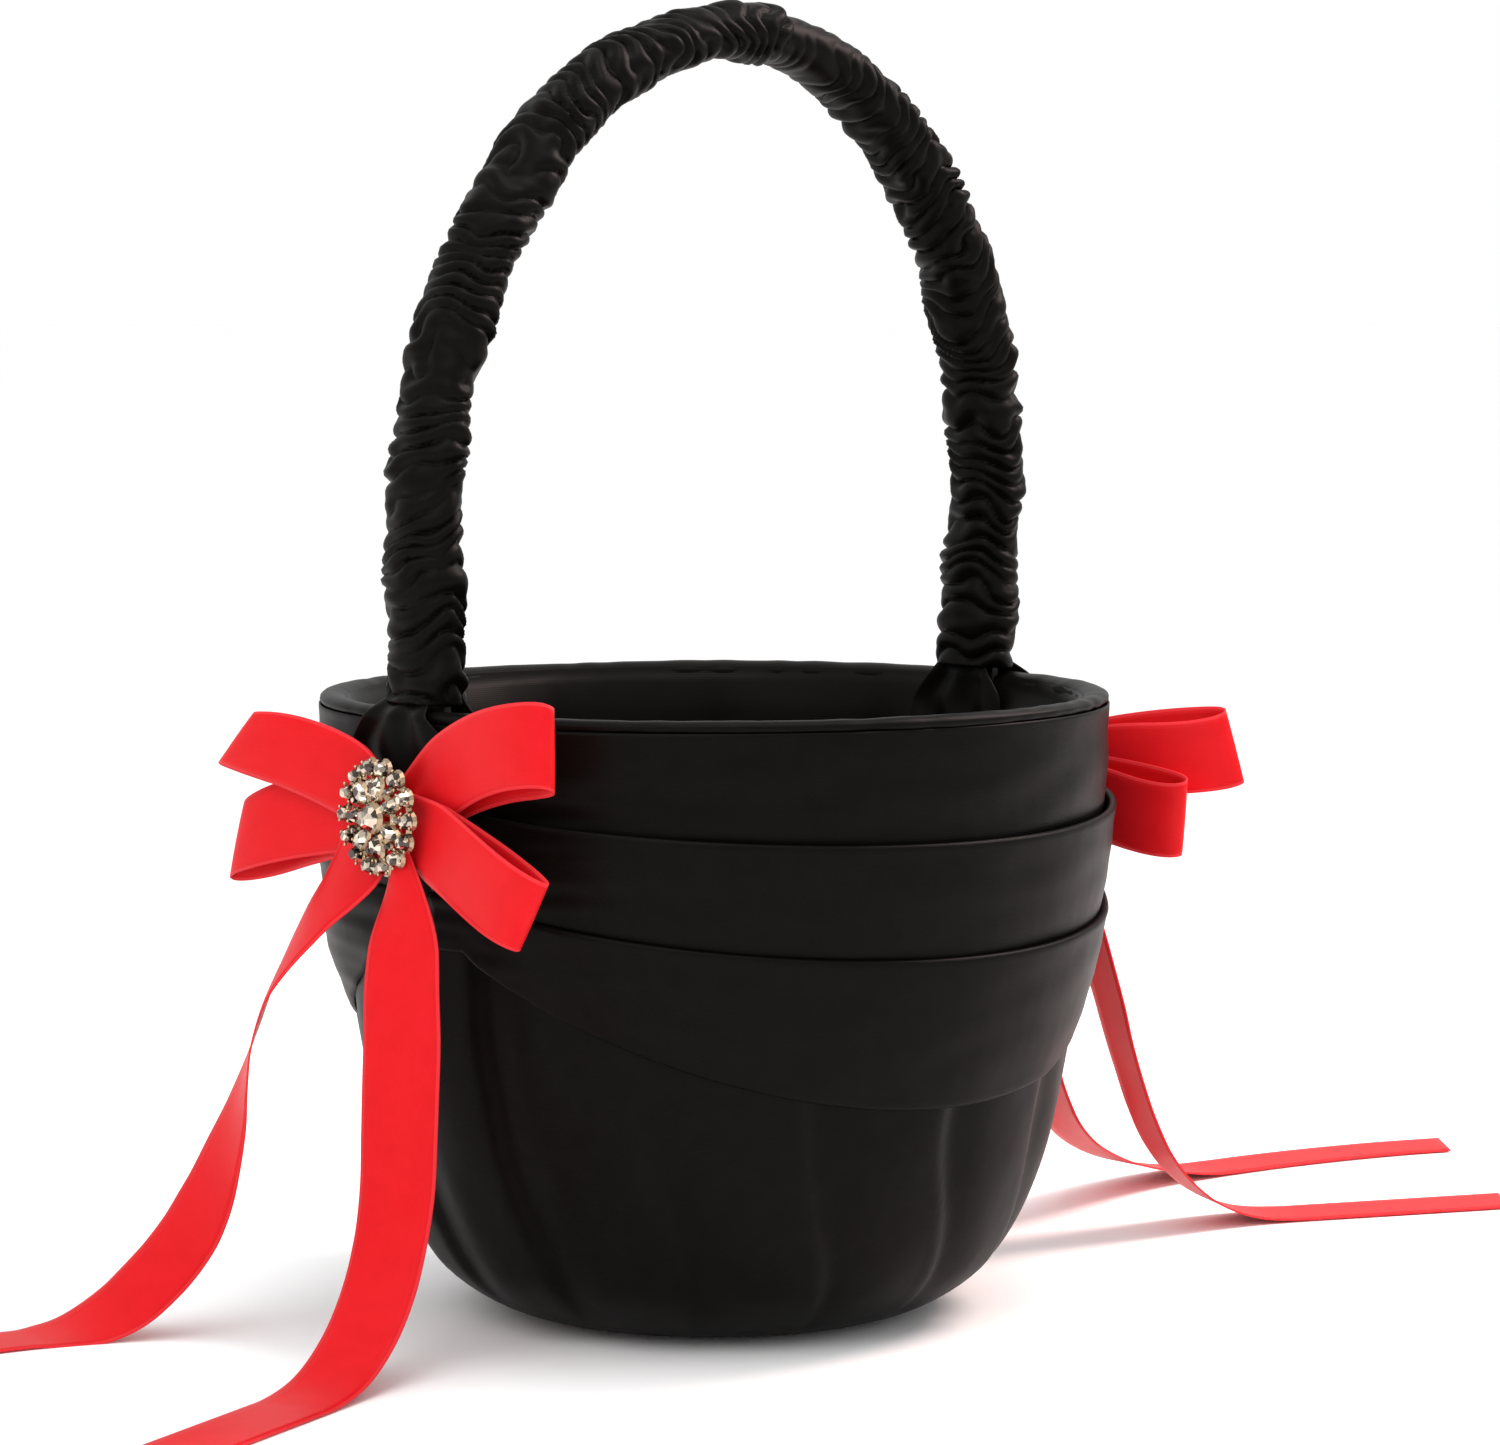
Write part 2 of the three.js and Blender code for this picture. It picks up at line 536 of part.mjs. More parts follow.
// The loops of the rising and the falling strip, each [the one to the right, the one to the left]
// as the bow is faced. tilt is how far a loop stands out from the wall, in radians.
bow('near', -1, BOW_HEIGHT.near, [
  [{ length: 49, tilt: -0.06 }, { length: 48, tilt: -0.06 }],
  [{ length: 49, tilt: 0.08 }, { length: 43, tilt: 0.08 }],
]);
bow('far', 1, BOW_HEIGHT.far, [
  [{ length: 47, tilt: -0.04 }, { length: 47, tilt: -0.02 }],
  [{ length: 44, tilt: 0.1 }, { length: 48, tilt: 0.22 }],
]);
for (const [name, route] of Object.entries(TAILS)) tail(name, route);

export default basket;
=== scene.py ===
# %% [markdown]
# # A flower girl basket
# The basket is a plastic bucket dressed in black satin: a tucked cover below, a swag of three
# draped pleats round its upper half, and an arch handle in two gathered sleeves. At each foot of
# the handle sits a red ribbon bow with a stone brooch and two long tails.
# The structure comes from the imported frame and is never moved. Everything that is cloth, ribbon or
# jewellery is modelled here, in the place that the frame holds for it.

# %% Load the frame
import math

import bmesh
import bpy
from mathutils import Matrix, Vector, noise
from mathutils.bvhtree import BVHTree


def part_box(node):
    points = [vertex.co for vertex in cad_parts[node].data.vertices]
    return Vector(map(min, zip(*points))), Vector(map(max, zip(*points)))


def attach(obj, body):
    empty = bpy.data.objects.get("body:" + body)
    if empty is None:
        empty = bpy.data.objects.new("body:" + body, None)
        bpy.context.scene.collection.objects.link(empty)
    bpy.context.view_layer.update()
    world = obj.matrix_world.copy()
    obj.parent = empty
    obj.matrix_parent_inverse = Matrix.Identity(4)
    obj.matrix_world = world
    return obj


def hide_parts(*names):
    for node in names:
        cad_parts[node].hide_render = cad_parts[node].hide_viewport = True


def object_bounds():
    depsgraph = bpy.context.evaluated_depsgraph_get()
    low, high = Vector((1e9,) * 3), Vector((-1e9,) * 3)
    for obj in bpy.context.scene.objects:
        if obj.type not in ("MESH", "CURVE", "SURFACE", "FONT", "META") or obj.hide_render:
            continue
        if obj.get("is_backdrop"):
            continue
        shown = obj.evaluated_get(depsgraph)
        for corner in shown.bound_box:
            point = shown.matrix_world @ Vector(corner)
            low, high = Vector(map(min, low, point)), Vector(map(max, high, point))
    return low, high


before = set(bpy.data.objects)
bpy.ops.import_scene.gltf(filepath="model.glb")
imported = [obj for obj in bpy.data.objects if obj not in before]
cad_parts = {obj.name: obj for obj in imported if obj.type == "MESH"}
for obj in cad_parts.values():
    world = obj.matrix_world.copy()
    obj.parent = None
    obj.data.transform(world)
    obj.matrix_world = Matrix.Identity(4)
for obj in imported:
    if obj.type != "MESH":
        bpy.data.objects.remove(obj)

cad_box = [list(corner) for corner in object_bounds()]
print("nodes in the frame:", len(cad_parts))

# %% [markdown]
# Small helpers come first. Lengths in this file are in millimetres, because a basket is sewn in
# millimetres, and they are turned to Blender's metres only where a mesh is made.

# %% Numbers and curves
MM = 0.001


def mix(start, end, share):
    return start + (end - start) * share


def ease(value, low, high):
    """0 below low, 1 above high, and a smooth step between them."""
    share = min(max((value - low) / (high - low), 0.0), 1.0)
    return share * share * (3 - 2 * share)


def smooth_curve(points, steps):
    """A Catmull-Rom curve through points with any number of coordinates."""
    before_first = [2 * a - b for a, b in zip(points[0], points[1])]
    after_last = [2 * a - b for a, b in zip(points[-1], points[-2])]
    padded = [before_first, *points, after_last]
    curve = []
    for before, start, end, after in zip(padded, padded[1:], padded[2:], padded[3:]):
        for t in (step / steps for step in range(steps)):
            curve.append([
                0.5 * (2 * b + (c - a) * t + (2 * a - 5 * b + 4 * c - d) * t**2
                       + (3 * b - a - 3 * c + d) * t**3)
                for a, b, c, d in zip(before, start, end, after)
            ])
    return [*curve, list(points[-1])]


def line_lengths(curve, places=3):
    """How far along the curve each of its points lies."""
    lengths = [0.0]
    for here, there in zip(curve, curve[1:]):
        lengths.append(lengths[-1] + math.dist(here[:places], there[:places]))
    return lengths


def at_share(curve, lengths, share):
    """The point that lies at this share of the curve's length."""
    wanted = share * lengths[-1]
    index = next((i for i, length in enumerate(lengths) if length >= wanted), len(lengths) - 1)
    if index == 0:
        return list(curve[0])
    span = max(lengths[index] - lengths[index - 1], 1e-9)
    local = (wanted - lengths[index - 1]) / span
    return [mix(a, b, local) for a, b in zip(curve[index - 1], curve[index])]


# %% [markdown]
# The camera stands left of the front and a little above the rim, so that the near bow, the front
# swag and the far wall's lining are all in view. A long lens from nearly a metre away keeps the
# handle's two legs about the same size.

# %% Camera
CAMERA_AZIMUTH = math.radians(-41.5)
CAMERA_DISTANCE = 906
CAMERA_HEIGHT = 190
CAMERA_DOWN = math.radians(4.92)
CAMERA_RIGHT = math.radians(0.43)
CAMERA_LENS = 114.2

camera = bpy.data.objects.new("camera", bpy.data.cameras.new("camera"))
bpy.context.scene.collection.objects.link(camera)
bpy.context.scene.camera = camera
camera.data.lens = CAMERA_LENS
camera.location = Vector((
    CAMERA_DISTANCE * math.sin(CAMERA_AZIMUTH),
    -CAMERA_DISTANCE * math.cos(CAMERA_AZIMUTH),
    CAMERA_HEIGHT,
)) * MM
heading = CAMERA_AZIMUTH - CAMERA_RIGHT
looking = Vector((
    -math.sin(heading) * math.cos(CAMERA_DOWN),
    math.cos(heading) * math.cos(CAMERA_DOWN),
    -math.sin(CAMERA_DOWN),
))
camera.rotation_mode = "QUATERNION"
camera.rotation_quaternion = looking.to_track_quat("-Z", "Y")
print("camera looks along", [round(x, 3) for x in looking])

# %% [markdown]
# Nearly every visible piece here is a sheet of cloth. A sheet starts as Blender's flat grid, and a
# small function says where each of its points lies on the basket. This keeps the threads straight
# in the cloth: the UV map is the flat cut in metres, so a weave drawn on it follows every fold.

# %% Lay a sheet of cloth
CLOTH = 0.45


def lay_cloth(name, columns, rows, places, material, cut, thickness=CLOTH, offset=-1.0):
    """Makes one object of one or more grids. A place function takes shares along and across."""
    bm = bmesh.new()
    uv_layer = bm.loops.layers.uv.new("cloth")
    for place in places:
        grid = bmesh.ops.create_grid(bm, x_segments=columns, y_segments=rows, size=0.5)
        faces = {face for vert in grid["verts"] for face in vert.link_faces}
        for loop in (loop for face in faces for loop in face.loops):
            along, across = loop.vert.co.x + 0.5, loop.vert.co.y + 0.5
            loop[uv_layer].uv = (along * cut[0] * MM, across * cut[1] * MM)
        for vert in grid["verts"]:
            vert.co = place(vert.co.x + 0.5, vert.co.y + 0.5) * MM
    bmesh.ops.remove_doubles(bm, verts=bm.verts, dist=0.00001)
    return finish_mesh(name, bm, material, thickness, offset)


def finish_mesh(name, bm, material, thickness=0.0, offset=-1.0, smooth=True):
    """Turns a bmesh into an object at the origin, with a wall thickness if it is a sheet."""
    for face in bm.faces:
        face.smooth = smooth
    mesh = bpy.data.meshes.new(name)
    bm.to_mesh(mesh)
    bm.free()
    mesh.materials.append(material)
    piece = bpy.data.objects.new(name, mesh)
    bpy.context.scene.collection.objects.link(piece)
    if thickness:
        wall = piece.modifiers.new("wall", "SOLIDIFY")
        wall.thickness = thickness * MM
        wall.offset = offset
    print(f"{name}: {len(mesh.polygons)} faces")
    return piece


def install(piece, slot, *nodes):
    """The piece moves with the basket and stands for these nodes. The slot argument is not used."""
    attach(piece, "root")
    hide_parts(*nodes)
    return piece


# %% [markdown]
# A finish is a node tree. One function adds a node, sets its properties and fills its inputs,
# with a value or with another node's output. Colours are written as the sRGB codes that a painter
# would pick, and turned to the linear values that the renderer works in.

# %% Finish helpers
def linear(code):
    channels = [int(code[i:i + 2], 16) / 255 for i in (1, 3, 5)]
    return [c / 12.92 if c <= 0.04045 else ((c + 0.055) / 1.055) ** 2.4 for c in channels] + [1.0]


def add(tree, kind, inputs=(), **settings):
    node = tree.nodes.new(kind)
    for key, value in settings.items():
        setattr(node, key, value)
    for key, value in dict(inputs).items():
        if isinstance(value, bpy.types.NodeSocket):
            tree.links.new(value, node.inputs[key])
        else:
            node.inputs[key].default_value = value
    return node


def new_finish(name, **shader_values):
    """A material whose shader has these values, with its tree and its shader."""
    material = bpy.data.materials.new(name)
    material.use_nodes = True
    tree = material.node_tree
    shader = tree.nodes["Principled BSDF"]
    for key, value in shader_values.items():
        shader.inputs[key.replace("_", " ")].default_value = value
    return material, tree, shader


def wave_scale(period_mm):
    """The Wave texture's scale that repeats its bands at this spacing."""
    return 2 * math.pi / (20 * period_mm * MM)


def noise_scale(size_mm):
    return 1 / (size_mm * MM)


# %% [markdown]
# Satin is woven so that most threads float over the face, which makes it smooth and lets it shine
# along one direction. Polyester satin has threads about 0.1 mm apart. That is finer than a picture
# of the whole basket can show, so they are drawn about four times as coarse, and kept faint.
# Black satin drinks nearly all light: its folds are told apart only by their sheen.

# %% Black satin
THREAD_DRAWN = 0.42


def satin(name, dark, light, roughness, specular, pucker):
    """Woven satin on the UV map of the cloth. pucker is the depth of its soft unevenness."""
    material, tree, shader = new_finish(
        name, Roughness=roughness, Specular_IOR_Level=specular)
    uv = add(tree, "ShaderNodeTexCoord").outputs["UV"]
    threads = add(
        tree, "ShaderNodeTexWave",
        {"Vector": uv, "Scale": wave_scale(THREAD_DRAWN), "Distortion": 0.6},
        wave_type="BANDS", bands_direction="Y").outputs["Fac"]
    slubs = add(
        tree, "ShaderNodeTexNoise",
        {"Vector": uv, "Scale": noise_scale(5), "Detail": 3.0}).outputs["Fac"]
    soft = add(
        tree, "ShaderNodeTexNoise",
        {"Vector": uv, "Scale": noise_scale(16), "Detail": 2.0}).outputs["Fac"]
    tint = add(
        tree, "ShaderNodeMix",
        {"Factor": slubs, "A": linear(dark), "B": linear(light)}, data_type="RGBA")
    weave = add(
        tree, "ShaderNodeBump", {"Strength": 0.25, "Distance": 0.04 * MM, "Height": threads})
    uneven = add(
        tree, "ShaderNodeBump",
        {"Strength": 0.6, "Distance": pucker * MM, "Height": soft,
         "Normal": weave.outputs["Normal"]})
    tree.links.new(tint.outputs["Result"], shader.inputs["Base Color"])
    tree.links.new(uneven.outputs["Normal"], shader.inputs["Normal"])
    return material, tree, shader


black_satin, _, _ = satin("black polyester satin", "#060504", "#0d0b09", 0.42, 0.05, 0.5)

# %% [markdown]
# The bows are red satin ribbon. A ribbon is woven to its width, so each edge has a selvedge, a
# narrow band of tighter threads. Along it a lighter red is painted into the colour as a highlight.
# The band is found from the distance to the edge of the UV map.

# %% Red satin ribbon
RIBBON_WIDTH = 15
SELVEDGE = 0.6

red_ribbon, red_tree, red_shader = satin("red satin ribbon", "#c8141a", "#d51b21", 0.42, 0.07, 0.15)
ribbon_uv = add(red_tree, "ShaderNodeTexCoord").outputs["UV"]
across = add(red_tree, "ShaderNodeSeparateXYZ", {"Vector": ribbon_uv}).outputs["Y"]
from_middle = add(
    red_tree, "ShaderNodeMath", {0: across, 1: RIBBON_WIDTH / 2 * MM}, operation="SUBTRACT")
from_middle = add(red_tree, "ShaderNodeMath", {0: from_middle.outputs[0]}, operation="ABSOLUTE")
selvedge_highlight_mask = add(
    red_tree, "ShaderNodeMath",
    {0: from_middle.outputs[0], 1: (RIBBON_WIDTH / 2 - SELVEDGE) * MM}, operation="GREATER_THAN")
face_colour = red_shader.inputs["Base Color"].links[0].from_socket
# Painted highlight: a lighter red laid into the colour along each selvedge.
selvedge_painted_highlight = add(
    red_tree, "ShaderNodeMix",
    {"Factor": selvedge_highlight_mask.outputs[0], "A": face_colour, "B": linear("#dc3036")},
    data_type="RGBA")
red_tree.links.new(selvedge_painted_highlight.outputs["Result"], red_shader.inputs["Base Color"])

# %% [markdown]
# ## Ribbon tails
# Each bow lets two tails fall to the ground. They are limp and weigh almost nothing, so they hang
# in long shallow curves and run out along the surface the basket stands on. A tail's route is a
# list of points on its middle line. Each has a turn, in degrees, that says which way the ribbon's
# width points there, because a flat ribbon turns and twists as it falls. It leaves the knot
# gathered to a few millimetres and opens to its full width.

# %% Tails
TAIL_ROUTES = {  # [x, y, z, turn]
    "near_front": [
        (-81, -5, 97, 0), (-81, -7, 92, 0), (-82, -9, 85, 8), (-83, -10, 77, 18),
        (-83.5, -10, 69, 25), (-83.5, -10, 60, 28), (-83.5, -9.5, 51, 28), (-83.5, -9, 42, 27),
        (-84, -9, 33, 25), (-86, -9.5, 24, 22), (-90, -11, 15.5, 22), (-96, -13, 8, 22),
        (-104.5, -16, 2.5, 22), (-115, -20, 0.5, 22), (-128, -25, 0.5, 22), (-141, -30, 0.5, 22),
        (-154, -35, 0.5, 22),
    ],
    "near_back": [
        (-80.5, 2, 98, 0), (-81, 5, 92, 0), (-82.5, 9, 86.5, -8), (-85, 14, 80, -20),
        (-87, 19, 73, -32), (-88.5, 23, 66, -40), (-89.5, 26, 58, -40), (-90, 28.5, 50, -32),
        (-90.5, 31, 42, -20), (-91.5, 34, 34, -8), (-93, 37, 26, 2), (-95, 41, 18.5, 8),
        (-98.5, 45.5, 11.5, 12), (-103.5, 50, 5.5, 15), (-110, 54, 1.8, 17), (-118, 57, 0.5, 18),
        (-127, 59, 0.5, 18), (-137, 60, 0.5, 18),
    ],
    "far_front": [
        (80.5, -5, 94, 180), (81, -7, 88, 178), (82.5, -9.5, 82, 172), (85.5, -11.5, 75, 166),
        (89, -12.5, 67.5, 162), (92.5, -12.5, 59.5, 160), (96, -12.5, 51, 158),
        (99.5, -12, 42.5, 156), (103.5, -11.5, 34, 155), (108, -11, 25.5, 155),
        (113.5, -10.5, 17.5, 155), (120.5, -10.5, 10.5, 155), (129, -11, 5, 155),
        (138.5, -13, 1.5, 155), (149, -17, 0.5, 155), (160, -22, 0.5, 155),
        (171, -27, 0.5, 155), (182, -32, 0.5, 155), (193, -37, 0.5, 155),
    ],
    "far_back": [
        (80.5, 1, 94, 180), (81, 3, 88, 178), (83, 5, 82, 172), (85.5, 6, 75, 165),
        (88, 6.5, 67.5, 160), (90.5, 7, 60, 157), (93.5, 8, 52, 155), (96.5, 9, 44.5, 155),
        (100.5, 10.5, 37, 155), (105, 12.5, 29.5, 157), (111, 15.5, 22.5, 160),
        (119, 19.5, 16.5, 165), (129, 24, 11.5, 170), (141, 28, 7, 174),
        (154, 30.5, 3.5, 177), (168, 31, 1, 177),
        (182, 30, 0.5, 174), (196, 28, 0.5, 170), (210, 25, 0.5, 167), (224, 21, 0.5, 163),
        (237, 16, 0.5, 159),
    ],
}
TAIL_LOWEST = 0.5  # the middle line stays this far above the ground
TAIL_LENGTHS = {"near_front": 157, "near_back": 145, "far_front": 175, "far_back": 216}
TAIL_OPENING = {  # width at the knot, share of the length in which it opens
    "near_front": (4.5, 0.14), "near_back": (9, 0.05), "far_front": (5, 0.12),
    "far_back": (5, 0.12),
}
TAIL_END_SLANT = 5
TAIL_END_SHARE = 0.97  # share of the length at which the slant of the cut end starts
TAIL_FLAT_BELOW = 6  # height below which the ribbon is not cupped across its width
TAIL_CUP_GATHERED = 2.4
TAIL_CUP_OPEN = 0.25
TAIL_COLUMNS, TAIL_ROWS = 110, 8
ROUTE_STEPS = 20
LOOK_ALONG = 0.01  # share of the length over which a direction is measured
RIBBON_THICKNESS = 0.35


def hang_tail(name, route):
    curve = [
        [x, y, max(z, TAIL_LOWEST), turn] for x, y, z, turn in smooth_curve(route, ROUTE_STEPS)
    ]
    lengths = line_lengths(curve)
    gathered, opens_in = TAIL_OPENING[name]
    print(f"tail {name}: {lengths[-1]:.1f} mm long")

    def place(along, across):
        *spot, turn = at_share(curve, lengths, along)
        before = Vector(at_share(curve, lengths, max(along - LOOK_ALONG, 0))[:3])
        after = Vector(at_share(curve, lengths, min(along + LOOK_ALONG, 1))[:3])
        tangent = (after - before).normalized()
        side = Vector((math.sin(math.radians(turn)), -math.cos(math.radians(turn)), 0))
        side = (side - tangent * side.dot(tangent)).normalized()
        face = tangent.cross(side)
        opened = ease(along, 0, opens_in)
        from_middle = across - 0.5
        cupped = mix(TAIL_CUP_GATHERED, TAIL_CUP_OPEN, opened) * (1 - 4 * from_middle**2)
        slant = ease(along, TAIL_END_SHARE, 1) * from_middle * TAIL_END_SLANT
        point = Vector(spot) + side * from_middle * mix(gathered, RIBBON_WIDTH, opened)
        return point + face * (cupped if spot[2] > TAIL_FLAT_BELOW else 0) + tangent * slant

    piece = lay_cloth(
        f"ribbon_tail_{name}", TAIL_COLUMNS, TAIL_ROWS, [place], red_ribbon,
        (TAIL_LENGTHS[name], RIBBON_WIDTH), RIBBON_THICKNESS, offset=0)
    install(piece, "satin_red", f"tail_{name}")
    return piece


for tail_name, tail_route in TAIL_ROUTES.items():
    hang_tail(tail_name, tail_route)

# %% [markdown]
# ## The wall
# The cover, the lining and the swags all follow the same round wall. Its shape is read from the
# packed cover: rays sent in from the side find its outside at every height, so the cloth fits the
# structure however that was drawn.

# %% Read the wall from the frame
WALL_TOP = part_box("body_cover")[1].z / MM
RIM_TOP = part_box("rim_binding")[1].z / MM
RIM_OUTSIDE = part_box("rim_binding")[1].x / MM


def outer_profile(node):
    """[radius, height] of the corners on the outside of a turned node, from the bottom up."""
    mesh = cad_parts[node].data
    tree = BVHTree.FromPolygons(
        [vert.co for vert in mesh.vertices], [tuple(face.vertices) for face in mesh.polygons])
    corners = {}
    for vert in mesh.vertices:
        if abs(vert.co.y) > 1e-5 or vert.co.x < 0:
            continue
        start = Vector((0.3, 0, vert.co.z))
        hit = tree.ray_cast(start, Vector((-1, 0, 0)))[0]
        if hit is None or abs(hit.x - vert.co.x) < 2e-5:
            corners[round(vert.co.z / MM, 2)] = vert.co.x / MM
    return [(radius, height) for height, radius in sorted(corners.items())]


cover_line = smooth_curve(outer_profile("body_cover"), 8)
cover_lengths = line_lengths(cover_line, 2)


def cover_radius(height):
    """The radius of the cover at a height."""
    for (r0, z0), (r1, z1) in zip(cover_line, cover_line[1:]):
        if z1 >= height > z0:
            return mix(r0, r1, (height - z0) / (z1 - z0))
    return cover_line[0][0] if height <= cover_line[0][1] else cover_line[-1][0]


def on_wall(angle, radius, height):
    """A point round the wall; the angle is in degrees from the front towards +X."""
    turn = math.radians(angle)
    return Vector((radius * math.sin(turn), -radius * math.cos(turn), height))


def wobble(x, y=0.0, z=0.0):
    """Smooth noise from about -1 to 1, the same each run."""
    return noise.noise(Vector((x, y, z)))


def round_wobble(angle, bumps, level=0.0):
    """Smooth noise that closes on itself round the wall, with about this many bumps."""
    turn = math.radians(angle)
    reach = bumps / (2 * math.pi)
    return wobble(reach * math.cos(turn), reach * math.sin(turn), level)


print("cover radius at the rim:", round(cover_radius(WALL_TOP), 1))

# %% [markdown]
# ## The cover
# The cover is one band of satin pulled down over the bucket and drawn in underneath. The bucket
# narrows towards its foot, so the spare cloth is laid in tucks. A tuck has a sharp side, where the
# cloth laps over, and a soft side, where it rolls away. Sewn by hand, the tucks are spaced evenly
# but not exactly, and some are deeper than others.

# %% Tucked cover
TUCKS = 14
TUCK_WIDTH = 6  # degrees
TUCK_CROWN = 1.5  # how far a panel stands proud between two tucks
TUCK_LEAN = 6  # degrees that a tuck leans by the time it reaches the foot
TUCK_LEAN_FROM = 50  # height at which it starts to lean
TUCK_WANDER = 2  # degrees
TUCK_DEPTH, TUCK_DEPTH_SPREAD = 0.85, 0.4
SHARP_SIDE = 0.3  # width of a tuck's sharp side, as a share of its soft side's
COVER_RIPPLE = 0.25


def tuck_depth(angle, height):
    """How far the cloth sinks at a place, from 0 on a panel to about 1 in a tuck."""
    lean = TUCK_LEAN * ease(TUCK_LEAN_FROM - height, 0, 45)
    deepest = 0.0
    for tuck in range(TUCKS):
        middle = 360 * tuck / TUCKS + lean + TUCK_WANDER * wobble(height / 25, tuck)
        off = (angle - middle + 180) % 360 - 180
        reach = TUCK_WIDTH * (SHARP_SIDE if off < 0 else 1.0)
        depth = TUCK_DEPTH + TUCK_DEPTH_SPREAD * wobble(tuck * 0.7)
        deepest = max(deepest, depth * math.exp(-((off / reach) ** 2)))
    return deepest


def cover_place(along, across):
    angle = 360 * along
    radius, height = at_share(cover_line, cover_lengths, across)
    fullness = ease(height, 2, 12) * (1 - ease(height, 100, 114))
    crown = TUCK_CROWN * (1 - tuck_depth(angle, height)) * fullness
    crown += COVER_RIPPLE * round_wobble(angle, 40, height / 14) * fullness
    return on_wall(angle, radius + crown, height)


COVER_CUT = (450, 135)
cover = lay_cloth("satin_cover", 300, 60, [cover_place], black_satin, COVER_CUT)
install(cover, "satin_black", "body_cover")

# %% [markdown]
# ## The swag
# The swag is cloth folded lengthways into three pleats and sewn down under the bows. The upper
# pleat lies flat below the rim. The other two start inside the pleat above, rise to a rounded
# fold that stands off the basket, and hang down outside it. That leaves a dark pocket behind each
# fold. The lowest edge is rolled under. Each pleat sags between the bows as a hanging cloth does.

# %% Draped swag
SWAG_HALF = 86  # degrees from mid-swag to its end under a bow
SWAG_DRAPE = 80  # degrees from mid-swag to where its edges stop sagging
SWAG_OPENING = 26  # degrees over which the pleats open out of the gathering
SAG_FULLNESS = 0.8
FOLD_LINES = [(WALL_TOP - 0.1, 0), (101, 6), (85, 11), (76, 29)]  # height at the bows, drop
FOLD_STAND = [1.6, 4.9, 5.5]  # how far the top of each pleat stands off the cover
LOW_STAND = [2.2, 3.0, 2.2]  # the same at its lower edge
END_STAND = [1.6, 2.3, 3.0]  # the same at its gathered ends
FOLD_ROUND = 0.9
HEM_ROUND = 0.8
INNER_LEG, FOLD_END, HEM_START = 0.16, 0.28, 0.9  # shares of the way down a pleat
PLEAT_RIPPLE, END_RIPPLE = 0.35, 0.9
SWAG_LENGTH = 228
PLEAT_CUTS = {"upper": 26, "middle": 35, "lower": 34}


def sag(angle):
    share = min(abs(angle) / SWAG_DRAPE, 1)
    return math.cos(math.pi / 2 * share) ** SAG_FULLNESS


def fold_height(line, angle):
    at_bow, drop = FOLD_LINES[line]
    return at_bow - drop * sag(angle)


def pleat_section(index, angle, share):
    """[height, stand off the cover] down one pleat at an angle."""
    opened = ease(SWAG_HALF - abs(angle), 0, SWAG_OPENING)
    top, low = fold_height(index, angle), fold_height(index + 1, angle)
    fold = mix(END_STAND[index], FOLD_STAND[index], opened)
    foot = mix(END_STAND[index], LOW_STAND[index], opened)
    if index == 0:
        belly = 0.6 * math.sin(math.pi * share) * opened
        return mix(top, low - 6 * opened, share), mix(fold, foot, share) + belly
    if share < INNER_LEG:
        up = share / INNER_LEG
        inside = mix(END_STAND[index] - 0.5, LOW_STAND[index - 1] + 0.7, opened)
        return top - 7 * opened * (1 - up), mix(inside, fold - 2 * FOLD_ROUND, ease(up, 0, 1))
    if share < FOLD_END:
        turn = math.pi * (share - INNER_LEG) / (FOLD_END - INNER_LEG)
        return top + FOLD_ROUND * math.sin(turn), fold - FOLD_ROUND * (1 + math.cos(turn))
    tucked = 6 * opened if index == 1 else 0
    if index == 2 and share > HEM_START:
        turn = math.pi * (share - HEM_START) / (1 - HEM_START)
        return low - HEM_ROUND * math.sin(turn), foot - HEM_ROUND * (1 - math.cos(turn))
    down = (share - FOLD_END) / ((HEM_START if index == 2 else 1) - FOLD_END)
    belly = 0.7 * math.sin(math.pi * down) * opened
    return mix(top, low - tucked, down), mix(fold, foot, down**0.8) + belly


def swag_pleat(side, facing, index, pleat, drop):
    seed = 10 * index + facing

    def place(along, across):
        angle = mix(-SWAG_HALF, SWAG_HALF, along)
        height, stand = pleat_section(index, angle, 1 - across)
        near_end = 1 - ease(SWAG_HALF - abs(angle), 5, 45)
        ripple = PLEAT_RIPPLE * wobble(angle / 14, height / 6, seed)
        ripple += END_RIPPLE * near_end * wobble(angle / 30, height / 3.2, seed + 3)
        return on_wall(angle + facing, cover_radius(height) + stand + ripple, height)

    piece = lay_cloth(
        f"swag_{side}_pleat_{index + 1}", 150, 40, [place], black_satin, (SWAG_LENGTH, drop))
    install(piece, "satin_black", f"{side}_swag_{pleat}")
    return piece


for swag_side, swag_facing in (("front", 0), ("back", 180)):
    for pleat_index, (pleat_name, pleat_drop) in enumerate(PLEAT_CUTS.items()):
        swag_pleat(swag_side, swag_facing, pleat_index, pleat_name, pleat_drop)

# %% [markdown]
# ## Rim and lining
# A strip of satin is rolled over the rim and hides where cover, swag and lining meet. The roll is
# never even: it puckers where the thread pulls. Noise round the rim makes the puckers.

# %% Rolled rim
RIM_HALF_WIDTH = 2.9
RIM_HALF_HEIGHT = 1.5
RIM_FALL = 0.8  # the roll's inner side lies this much lower
RIM_MIDDLE = RIM_OUTSIDE - RIM_HALF_WIDTH
RIM_PUCKER, RIM_SWELL = 0.25, 0.35
RIM_CUT = (450, 14)


def rim_place(along, across):
    angle = 360 * along
    turn = 2 * math.pi * across
    pucker = RIM_PUCKER * round_wobble(angle, 90) + RIM_SWELL * round_wobble(angle, 16, 7)
    width = RIM_HALF_WIDTH + pucker
    height = RIM_HALF_HEIGHT + 0.6 * pucker
    radius = RIM_MIDDLE + width * math.cos(turn)
    fall = RIM_FALL * (0.5 - 0.5 * math.cos(turn)) ** 1.5
    return on_wall(angle, radius, RIM_TOP - RIM_HALF_HEIGHT - fall + height * math.sin(turn))


